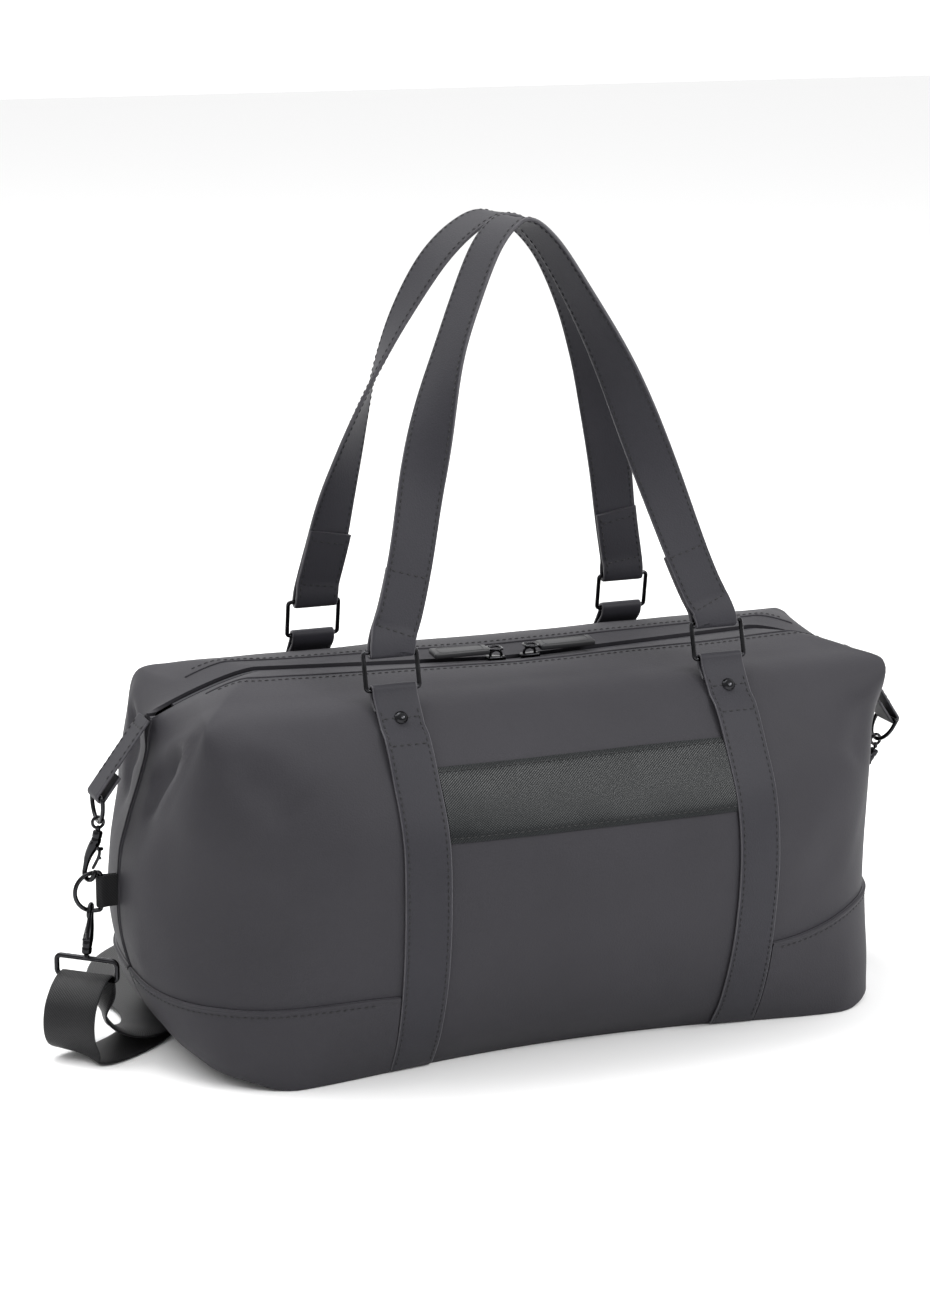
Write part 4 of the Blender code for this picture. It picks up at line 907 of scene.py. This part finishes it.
def handle_tail(line, side, centre, up, out, wrap):
    """One end of a handle: its tail down the inside, the loop round the ring, and the band's first rise."""
    half = line[line[:, 0] * side > 0]
    half = half[np.argsort(half[:, 2])]
    rises = np.concatenate([[0], half[:, 2] - centre[1]])
    reach = np.concatenate([[HANDLE_FOOT], side * half[:, 0]])
    tail = []
    for rise in np.linspace(0.050, 0.003, 22):
        y, z = centre + up * rise - out * handle_stand(rise, wrap)
        tail.append((side * np.interp(rise, rises, reach), y, z))
    for angle in np.radians(np.linspace(10, 170, 14)):
        y, z = centre + wrap * (-out * math.cos(angle) - up * math.sin(angle))
        tail.append((side * HANDLE_FOOT, y, z))
    for rise in (0.002, 0.005, 0.008):
        y, z = centre + up * rise + out * handle_stand(rise, wrap)
        tail.append((side * np.interp(rise, rises, reach), y, z))
    return np.array(tail)


def build_handles():
    for face in ("front", "back"):
        line, turn = handle_line(face)
        y0, z0 = ring_top(face)
        sign = -1 if face == "front" else 1
        up = unit(np.array([-sign * LEAN[face], 1.0]))
        out = np.array([up[1] * sign, -up[0] * sign])
        wrap, centre = WIRE_R + 0.00035 + HANDLE_T / 2, np.array([y0, z0])
        ends = [handle_tail(line, side, centre, up, out, wrap) for side in (-1, 1)]
        stand = handle_stand(line[:, 2] - centre[1], wrap)
        line[:, 1] += out[0] * stand
        line[:, 2] += out[1] * stand
        tangent = unit(np.gradient(line, axis=0))
        wide = np.stack([np.sin(turn), -np.cos(turn), 0 * turn], 1)
        wide = unit(wide - (wide * tangent).sum(1)[:, None] * tangent)
        level = np.sign([wide[0, 0], wide[-1, 0]])
        path = np.concatenate([ends[0], line, ends[1][::-1]])
        count = len(ends[0])
        across = []
        for rows, flip in ((ends[0], level[0]), (ends[1][::-1], level[1])):
            along = unit(np.gradient(rows, axis=0))
            slant = np.array([1.0, 0, 0]) * flip - along * (along[:, :1] * flip)
            across.append(unit(slant))
        across = np.concatenate([across[0], wide, across[1]])
        middle = path[:, None] + across[:, None] * (ACROSS * HANDLE_W / 2)[None, :, None]
        shape = Shape()
        add_band(shape, middle, HANDLE_T, "strap")
        along, side_way = np.gradient(middle, axis=0), np.gradient(middle, axis=1)
        normals = unit(np.cross(side_way, along))
        length = np.concatenate([[0], np.cumsum(np.linalg.norm(np.diff(path, axis=0), axis=1))])
        last = len(path) - 1
        for flip in (1, -1):
            shown = middle + flip * normals * HANDLE_T / 2
            for rows in (slice(count, last - count), slice(1, 22), slice(last - 21, last)):
                for col in (3, 9):
                    add_stitches(shape, shown[rows, col], flip * normals[rows, col])
            for rise in (0.011, 0.044):
                for row in (np.argmin(np.abs(length - (0.050 - rise))),
                            np.argmin(np.abs(length - (length[-1] - 0.050 + rise)))):
                    add_stitches(shape, shown[row, 3:10], flip * normals[row, 3:10])
            for rise in (0.012, 0.046):
                for k, side in ((count, 1), (last - count, -1)):
                    height = np.abs(path[:, 2] - (centre[1] + rise))
                    rows = np.arange(len(path))
                    near = (rows >= count) & (rows <= last // 2)
                    if side < 0:
                        near = (rows <= last - count) & (rows >= last // 2)
                    row = rows[near][np.argmin(height[near])]
                    add_stitches(shape, shown[row, 3:10], flip * normals[row, 3:10])
        shape.object(f"handle_{face}_cloth", f"handle_{face}", "strap_fabric", (f"handle_{face}",))


# ---------------------------------------------------------------- zip
def build_zip():
    xs = np.linspace(-0.243, 0.243, 120)
    line = np.array([(x, 0.0, zip_height(x)) for x in xs])
    for name, near, far in (("front", -0.0006, -0.0125), ("back", 0.0006, 0.0125)):
        ys = np.linspace(min(near, far), max(near, far), 12)
        rise = 0.0016 * (1 - smooth_step(abs(ys), 0.0035, 0.0062))
        low = np.array([line + (0, y, r - 0.0046) for y, r in zip(ys, rise)])
        high = np.array([line + (0, y, r - 0.0036) for y, r in zip(ys, rise)])
        shape = add_sheet(Shape(), low, high, "strap")
        shape.object(f"zip_tape_{name}_cloth", "bag", "webbing", (f"zip_tape_{name}",))
    shape = Shape()
    for k, x in enumerate(np.arange(-0.242, 0.242, 0.00125)):
        z = zip_height(x) - 0.0042
        sign = 1 if k % 2 else -1
        tooth = [(x, -0.0013 * sign, z - 0.0002), (x, 0.0002 * sign, z + 0.0003), (x, 0.0012 * sign, z)]
        add_tube(shape, tooth,
                 0.00052, "tape", 5, dome=False)
    shape.object("zip_teeth_coil", "bag", "webbing", ("zip_teeth",), weld=False)


def build_sliders():
    for side, name in ((-1, "left"), (1, "right")):
        x = side * SLIDER_X
        z = zip_height(x)
        tilt = np.array(Matrix.Rotation(-side * math.atan(ZIP_RISE[side]), 3, "Y"))
        shape = Shape()
        verts, faces = rounded_block((0.0135, 0.0082, 0.0034), 0.0012)
        verts[:, 1] *= 1 - 0.28 * smooth_step(-side * verts[:, 0], 0.0, 0.0068)
        shape.add(verts @ tilt.T + (x, 0, z + 0.0002), faces, "metal")
        bridge = [(x - 0.0042, 0, z + 0.0015), (x - 0.0036, 0, z + 0.0042), (x - 0.0010, 0, z + 0.0056),
                  (x + 0.0010, 0, z + 0.0056), (x + 0.0036, 0, z + 0.0042), (x + 0.0042, 0, z + 0.0015)]
        add_tube(shape, smooth_line(bridge, 5), 0.0010, "metal", 12)
        shape.object(f"slider_{name}_body", f"slider_{name}", "hardware", (f"zip_slider_{name}",))
        bail_z = z + 0.0072
        centre_x = x + side * 0.0010
        bail = rounded_box_line(0.0046, 0.0026, 0.0018, 6)
        points = [(centre_x + side * u, v * 1.9, bail_z) for u, v in bail]
        link = add_tube(Shape(), points, 0.0009, "metal", 14, closed=True)
        link.object(f"pull_{name}_link", f"pull_{name}", "hardware", (f"pull_link_{name}",))
        tab_x = centre_x + side * (0.0058 + 0.020)
        tab_z = zip_height(tab_x) + 0.0058
        lean = np.array(Matrix.Rotation(-side * 0.01, 3, "Y") @ Matrix.Rotation(0.10, 3, "X"))
        shape = Shape()
        verts, faces = rounded_block((0.041, 0.0138, 0.0042), 0.0015, 4)
        verts[:, 1] *= 1 - 0.16 * smooth_step(-side * verts[:, 0], 0.004, 0.020)
        shape.add(verts @ lean.T + (tab_x, 0, tab_z), faces, "pull")
        eye = [(tab_x - side * 0.0185, 0.0046, tab_z), (tab_x - side * 0.0208, 0.0034, tab_z),
               (tab_x - side * 0.0214, 0, tab_z), (tab_x - side * 0.0208, -0.0034, tab_z),
               (tab_x - side * 0.0185, -0.0046, tab_z)]
        add_tube(shape, smooth_line(eye, 5), 0.0010, "metal", 12)
        loop = rounded_box_line(0.0165, 0.0048, 0.0022, 6)
        rim = np.array([(tab_x + u, v, tab_z + 0.0021) for u, v in np.concatenate([loop, loop[:1]])])
        rim = (rim - (tab_x, 0, tab_z)) @ lean.T + (tab_x, 0, tab_z)
        add_tube(shape, rim[:-1], 0.00028, "pull", 6, closed=True)
        shape.object(f"pull_{name}_tab", f"pull_{name}", "puller", (f"pull_tab_{name}",))


# ---------------------------------------------------------------- the ends
def d_line(half, reach, corner, steps=28):
    short = max(0.0, reach - half)
    bow = arc((0, short), half, 0, 180, steps)
    first = arc((-half + corner, corner), corner, 180, 270, 7)
    second = arc((half - corner, corner), corner, 270, 360, 7)
    return np.concatenate([first, second, bow])


def build_end_tabs():
    wrap = WIRE_R + 0.00035 + STRAP_T / 2
    for side, name in ((-1, "left"), (1, "right")):
        bar, top = np.array(END_BAR[side]), np.array(TAB_TOP)
        down = (bar - top) / np.linalg.norm(bar - top)
        out = np.array([-down[1], down[0]])
        upper = [top + (bar - top) * t + out * wrap for t in np.linspace(0, 0.94, 16)]
        start = math.degrees(math.atan2(out[1], out[0]))
        bend = list(arc(bar, wrap, start, start - 180, 16))
        lower = [bar - out * wrap - down * s for s in np.linspace(0.003, 0.018, 7)]
        path = np.array([(side * x, 0.0, z) for x, z in upper + bend + lower])
        across = np.array([0, -side, 0]) * (ACROSS * END_TAB_W / 2)[:, None]
        middle = path[:, None] + across[None]
        shape = Shape()
        add_band(shape, middle, STRAP_T, "strap")
        normals = unit(np.cross(np.gradient(middle, axis=1), np.gradient(middle, axis=0)))
        flip = 1 if (normals[3, 6] @ np.array([side * out[0], 0, out[1]])) > 0 else -1
        face = middle + flip * normals * STRAP_T / 2
        for col in (3, 9):
            add_stitches(shape, face[1:14, col], flip * normals[1:14, col])
        add_stitches(shape, face[2, 3:10], flip * normals[2, 3:10])
        shape.object(f"end_tab_{name}_cloth", "bag", "strap_fabric", (f"end_tab_{name}",))
        drop = np.array([-math.sin(END_RING_TILT[side]), -math.cos(END_RING_TILT[side])])
        points = [(side * (bar[0] + drop[0] * v), u, bar[1] + drop[1] * v)
                  for u, v in d_line(0.0138, END_RING_DROP, 0.0019)]
        add_tube(Shape(), points, WIRE_R, "metal", 18, closed=True).object(
            f"end_ring_{name}_wire", f"end_ring_{name}", "hardware", (f"end_ring_{name}",))


def build_side_rings():
    for side, name in ((-1, "left"), (1, "right")):
        bar, middle_z = SIDE_BAR[side], SIDE_Z[side]
        points = [(side * (bar + v), 0.0, middle_z + u) for u, v in d_line(SIDE_HALF, 0.0176, 0.0018)]
        add_tube(Shape(), points, WIRE_R, "metal", 18, closed=True).object(
            f"side_ring_{name}_wire", f"side_ring_{name}", "hardware", (f"side_ring_{name}",))
        wrap = WIRE_R + 0.00035 + 0.0007
        low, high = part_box(f"side_loop_{name}")
        root = min(abs(low[0]), abs(high[0])) + 0.0001
        first = [(root, -0.0012), ((root + bar) / 2, -0.0014), (bar - 0.004, -0.0016),
                 (bar - 0.0015, -wrap + 0.0002)]
        path = first + list(arc((bar, 0), wrap, -80, 80, 14)) + [(x, -y) for x, y in first[::-1]]
        line = np.array([(side * x, y, middle_z) for x, y in path])
        across = np.array([0, 0, 1]) * (ACROSS * 0.0110)[:, None]
        shape = Shape()
        add_band(shape, line[:, None] + across[None], 0.0014, "loop", "loop")
        shape.object(f"side_loop_{name}_webbing", "bag", "webbing", (f"side_loop_{name}",))


def hook_places(side):
    bar, tilt = END_BAR[side], END_RING_TILT[side]
    bow_x, bow_z = bar[0] - math.sin(tilt) * END_RING_DROP, bar[1] - math.cos(tilt) * END_RING_DROP
    top = (side * bow_x, 0.0, bow_z - EYE_DROP[side])
    out, rise = SIDE_HOLD[side]
    held_x = side * (SIDE_BAR[side] + out)
    high = (held_x, 0.0, SIDE_Z[side] + rise)
    low = (held_x, 0.0, SIDE_Z[side] - rise)
    fall = math.sqrt(HOOK_REACH**2 - (LOOP_X[side] - abs(held_x)) ** 2)
    return top, high, (side * LOOP_X[side], 0.0, low[2] - fall), low


def build_hook(name, gate_name, cad, barrel, held, yaw, body, gate_body):
    """A swivel snap hook: barrel, flat spine, round bow and a sprung gate with its thumb stud."""
    barrel, held = np.array(barrel), np.array(held)
    along = unit(held - barrel)
    across = np.array([math.sin(yaw), -math.cos(yaw), 0.0])
    across = unit(across - along * across.dot(along))
    third = np.cross(across, along)
    at = lambda u, w, t=0.0: barrel + across * u + along * w + third * t
    shape = Shape()
    add_lathe(shape, [(0.0016, 0.0), (0.0027, 0.0001), (0.0031, 0.0005), (0.0034, 0.0014), (0.0034, 0.0042),
                      (0.0031, 0.0047), (0.0031, 0.0052), (0.0034, 0.0057), (0.0034, 0.0078), (0.0029, 0.0092),
                      (0.0014, 0.0100)], at(0, 0), along, "metal", 24)
    line = [(0.0002, 0.0070, 0.0033), (-0.0010, 0.0100, 0.0036), (-0.0030, 0.0145, 0.0032),
            (-0.0045, 0.0195, 0.0026), (-0.0049, 0.0250, 0.0019)]
    line += [(u, w, 0.0017) for u, w in arc((0, HOOK_BOW), HOOK_BOW_R, 180, 0, 13)]
    line += [(0.0050, 0.0280, 0.00155), (0.0050, 0.0272, 0.0014)]
    keys = smooth_line([(*at(u, w), r) for u, w, r in line], 4)
    add_tube(shape, keys[:, :3], keys[:, 3], "metal", 18)
    shape.object(f"{name}_bar", body, "hardware", (cad,))
    gate = smooth_line([at(0.0052, 0.0112), at(0.0058, 0.0160), at(0.0042, 0.0212), at(0.0026, 0.0252)], 8)
    shape = add_tube(Shape(), gate, 0.0011, "metal", 14)
    add_tube(shape, [at(0.0052, 0.0112, -0.0016), at(0.0052, 0.0112, 0.0016)], 0.0013, "metal", 12)
    add_tube(shape, [at(0.0056, 0.0165), at(0.0074, 0.0170)], 0.0010, "metal", 12)
    shape.object(f"{gate_name}_bar", gate_body, "hardware", (f"{cad}_gate",))


def across_loop(side):
    return np.array([math.cos(LOOP_YAW[side]), side * math.sin(LOOP_YAW[side]), 0.0])


def loop_bar(side):
    barrel = hook_places(side)[2]
    return np.array([barrel[0], 0.0, barrel[2] - 0.0014 - LOOP_WIRE - 2 * LOOP_HALF_H])


def build_end_hardware():
    for side, name in ((-1, "left"), (1, "right")):
        top, high, barrel, low = hook_places(side)
        eye_z = top[2] + EYE_DROP[side] - 0.0009
        ring = [(top[0] + EYE_R * math.cos(a), 0.0, eye_z + EYE_R * math.sin(a))
                for a in np.radians(np.arange(0, 360, 12))]
        shape = add_tube(Shape(), ring, EYE_WIRE, "metal", 14, closed=True)
        add_tube(shape, [(top[0], 0, eye_z - 0.0036), (top[0], 0, eye_z - 0.0053)], 0.0016, "metal", 14)
        shape.object(f"hook_eye_{name}", f"eye_{name}", "hardware", (f"gusset_hook_eye_{name}",))
        build_hook(f"upper_hook_{name}", f"upper_gate_{name}", f"gusset_hook_{name}", top, high,
                   -side * HOOK_YAW, f"upper_hook_{name}", f"upper_gate_{name}")
        build_hook(f"lower_hook_{name}", f"lower_gate_{name}", f"strap_hook_{name}", barrel, low,
                   side * HOOK_YAW, f"lower_hook_{name}", f"lower_gate_{name}")
        wide, bar = across_loop(side), loop_bar(side)
        line = rounded_box_line(LOOP_HALF_W, LOOP_HALF_H, LOOP_CORNER, 8)
        points = [bar + wide * u + np.array([0, 0, v + LOOP_HALF_H]) for u, v in line]
        shape = add_tube(Shape(), points, LOOP_WIRE, "metal", 18, closed=True)
        z = barrel[2]
        add_lathe(shape, [(0.0012, -0.0040), (0.0024, -0.0036), (0.0025, -0.0018), (0.0019, -0.0014),
                          (0.0017, -0.0005), (0.0010, -0.0003)], (barrel[0], 0, z), (0, 0, 1), "metal", 20)
        shape.object(f"strap_loop_{name}_wire", "bag", "hardware", (f"strap_loop_{name}",))


# ---------------------------------------------------------------- the shoulder strap
def over_bar(side, start, end, steps=7):
    wide = across_loop(side)
    away = np.array([-wide[1], wide[0], 0.0])
    radius = LOOP_WIRE + 0.00035 + WEB_T / 2
    return [loop_bar(side) + away * c + np.array([0, 0, s])
            for c, s in arc((0, 0), radius, start, end, steps)]


def beside_bar(side, places):
    wide = across_loop(side)
    away = np.array([-wide[1], wide[0], 0.0])
    flat = loop_bar(side) * (1, 1, 0)
    return [flat + away * a + wide * b + np.array([0, 0, z]) for a, b, z in places]


def at_height(points, z):
    return [np.array([x, y, z]) for x, y in points]


def strap_route():
    """The shoulder strap's centre line, from its end at the right loop to its end on the adjuster."""
    ax, ay, az = ADJUSTER
    right = beside_bar(1, ((-0.0013, 0, 0.0280), (-0.0014, 0, 0.0400)))
    right += over_bar(1, 180, 0)
    right += beside_bar(1, ((0.0014, 0, 0.0410), (0.0013, 0, 0.0300), (0.0035, 0, 0.0180),
                            (0.0100, 0, 0.0080), (0.0210, 0, 0.0028)))
    behind = at_height(((0.2530, 0.034), (0.2492, 0.064), (0.2450, 0.098), (0.2320, 0.132), (0.2020, 0.160),
                        (0.1520, 0.178), (0.0900, 0.185), (0.0200, 0.180)), 0.0012)
    buckle = [(0.040, 0.0013), (0.024, 0.0018), (0.0135, 0.0038), (0.0085, 0.0068), (0.0040, 0.0104),
              (0.0, 0.0114), (-0.0035, 0.0106), (-0.0080, 0.0078), (-0.0135, 0.0040), (-0.0220, 0.0034)]
    buckle = [np.array([ax + x, ay, z]) for x, z in buckle]
    outer = at_height(((-0.1350, 0.1830), (-0.1700, 0.1930), (-0.2100, 0.1870), (-0.2420, 0.1600),
                       (-0.2575, 0.1240), (-0.2590, 0.0900), (-0.2540, 0.0600), (-0.2560, 0.0350)), 0.0034)
    down = [(-0.2650, 0.0170, 0.0042), (-0.2800, 0.0050, 0.0080), (-0.2905, 0.0020, 0.0150),
            (-0.2970, 0.0025, 0.0250), (-0.3015, 0.0030, 0.0370)]
    left = [np.array(p) for p in down] + over_bar(-1, -8, 100)
    left += beside_bar(-1, ((-0.0090, 0, 0.0525), (-0.0175, 0, 0.0470), (-0.0250, 0, 0.0380),
                            (-0.0280, 0, 0.0270), (-0.0262, 0, 0.0160), (-0.0210, 0.0015, 0.0075)))
    under = [np.array(p) for p in ((-0.3120, -0.0150, 0.0028), (-0.3022, -0.0145, 0.0013))]
    inner = at_height(((-0.2812, -0.0010), (-0.2650, 0.0150), (-0.2530, 0.0360), (-0.2462, 0.0600),
                       (-0.2450, 0.0880), (-0.2420, 0.1150), (-0.2280, 0.1430), (-0.2000, 0.1600),
                       (-0.1600, 0.1660), (-0.1200, 0.1695)), 0.0012)
    ends = [(ax - 0.0130, ay, 0.0013), (ax - 0.0060, ay, 0.0024)]
    wrap = arc((ax, az), ADJUSTER_WIRE + 0.00035 + WEB_T / 2, -110, 80, 8)
    ends = [np.array(p) for p in ends] + [np.array([x, ay, z]) for x, z in wrap]
    return right, behind, buckle, outer, left, under, inner, ends


def build_shoulder_strap():
    parts = strap_route()
    keys = np.array([p for part in parts for p in part])
    per = 6
    line = smooth_line(keys, per)
    counts = np.cumsum([len(part) for part in parts]) * per
    heading = np.gradient(line, axis=0)
    heading[:, 2] = 0
    across = unit(np.stack([heading[:, 1], -heading[:, 0], 0 * heading[:, 0]], 1))
    across[: counts[0] - 3 * per] = -across_loop(1)
    across[counts[3] + 4 * per : counts[4] - per // 2] = across_loop(-1)
    across[: counts[3] + 4 * per] = -across[: counts[3] + 4 * per]
    kernel = np.concatenate([np.arange(1, 8), np.arange(6, 0, -1)]) / 49.0
    padded = np.concatenate([np.tile(across[0], (6, 1)), across, np.tile(across[-1], (6, 1))])
    across = unit(np.stack([np.convolve(padded[:, k], kernel, "valid") for k in range(3)], 1))
    middle = line[:, None] + across[:, None] * (ACROSS * WEB_W / 2)[None, :, None]
    shape = Shape()
    add_band(shape, middle, WEB_T, "webbing", "webbing")
    strap = shape.object("shoulder_strap_webbing", "bag", "webbing", ("shoulder_strap",))
    ax, ay, az = ADJUSTER
    box = rounded_box_line(ADJUSTER_HALF, ADJUSTER_W, 0.0025, 7)
    frame_line = [(ax + u, ay + v, az) for u, v in box]
    shape = add_tube(Shape(), frame_line, ADJUSTER_WIRE, "metal", 16, closed=True)
    add_tube(shape, [(ax, ay - ADJUSTER_W, az), (ax, ay + ADJUSTER_W, az)], ADJUSTER_WIRE, "metal", 16)
    adjuster = shape.object("strap_adjuster_frame", "bag", "hardware", ("strap_adjuster",))


# ---------------------------------------------------------------- CAD nodes that stay, floor and light
def finish_cad_nodes():
    for name, mat in (("base_panel", "shell"), ("base_stiffener", "board"), ("lining", "lining")):
        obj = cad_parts[name]
        for slot in obj.material_slots:
            slot.material = MATS[mat]


def make_stage():
    scene = bpy.context.scene
    scene.view_settings.view_transform = "Standard"
    bpy.ops.mesh.primitive_plane_add(size=14, location=(0, 2, 0))
    floor = bpy.context.object
    floor.name = "floor"
    mat, tree, shader = node_tree("floor_paper", 0.9, specular=0.1)
    shader.inputs["Base Color"].default_value = (0.92, 0.92, 0.92, 1)
    floor.data.materials.append(mat)
    world = bpy.data.worlds.new("studio")
    scene.world = world
    world.use_nodes = True
    tree = world.node_tree
    direction = tree.nodes.new("ShaderNodeTexCoord").outputs["Generated"]
    along = tree.nodes.new("ShaderNodeVectorMath")
    along.operation = "DOT_PRODUCT"
    along.inputs[1].default_value = (0.45, 0.80, 0.40)
    tree.links.new(direction, along.inputs[0])
    glow = scaled(tree, along.outputs["Value"], 0.40, 0.88)
    tree.links.new(glow, tree.nodes["Background"].inputs["Strength"])
    tree.nodes["Background"].inputs["Color"].default_value = (1, 1, 1, 1)
    for name, place, aim, size, power in (
        ("key", (1.0, -2.3, 2.1), (0, 0, 0.18), 1.3, 34),
        ("band_glow", (1.75, -1.75, 2.30), (0.09, -0.13, 0.19), 0.5, 26),
        ("top", (-0.4, 0.8, 2.6), (0, 0, 0.3), 1.8, 34),
        ("floor_wash", (-1.6, 1.2, 3.0), (-0.4, 1.6, 0.0), 2.6, 60),
    ):
        data = bpy.data.lights.new(name, "AREA")
        data.energy = power
        data.size = size
        lamp = bpy.data.objects.new(name, data)
        lamp.location = place
        lamp.rotation_euler = (Vector(aim) - Vector(place)).to_track_quat("-Z", "Y").to_euler()
        scene.collection.objects.link(lamp)


build_shoulder_strap()
build_panels()
build_corner_panels()
build_band()
build_straps()
build_handle_rings()
build_handles()
build_zip()
build_sliders()
build_end_tabs()
build_side_rings()
build_end_hardware()
finish_cad_nodes()
make_stage()
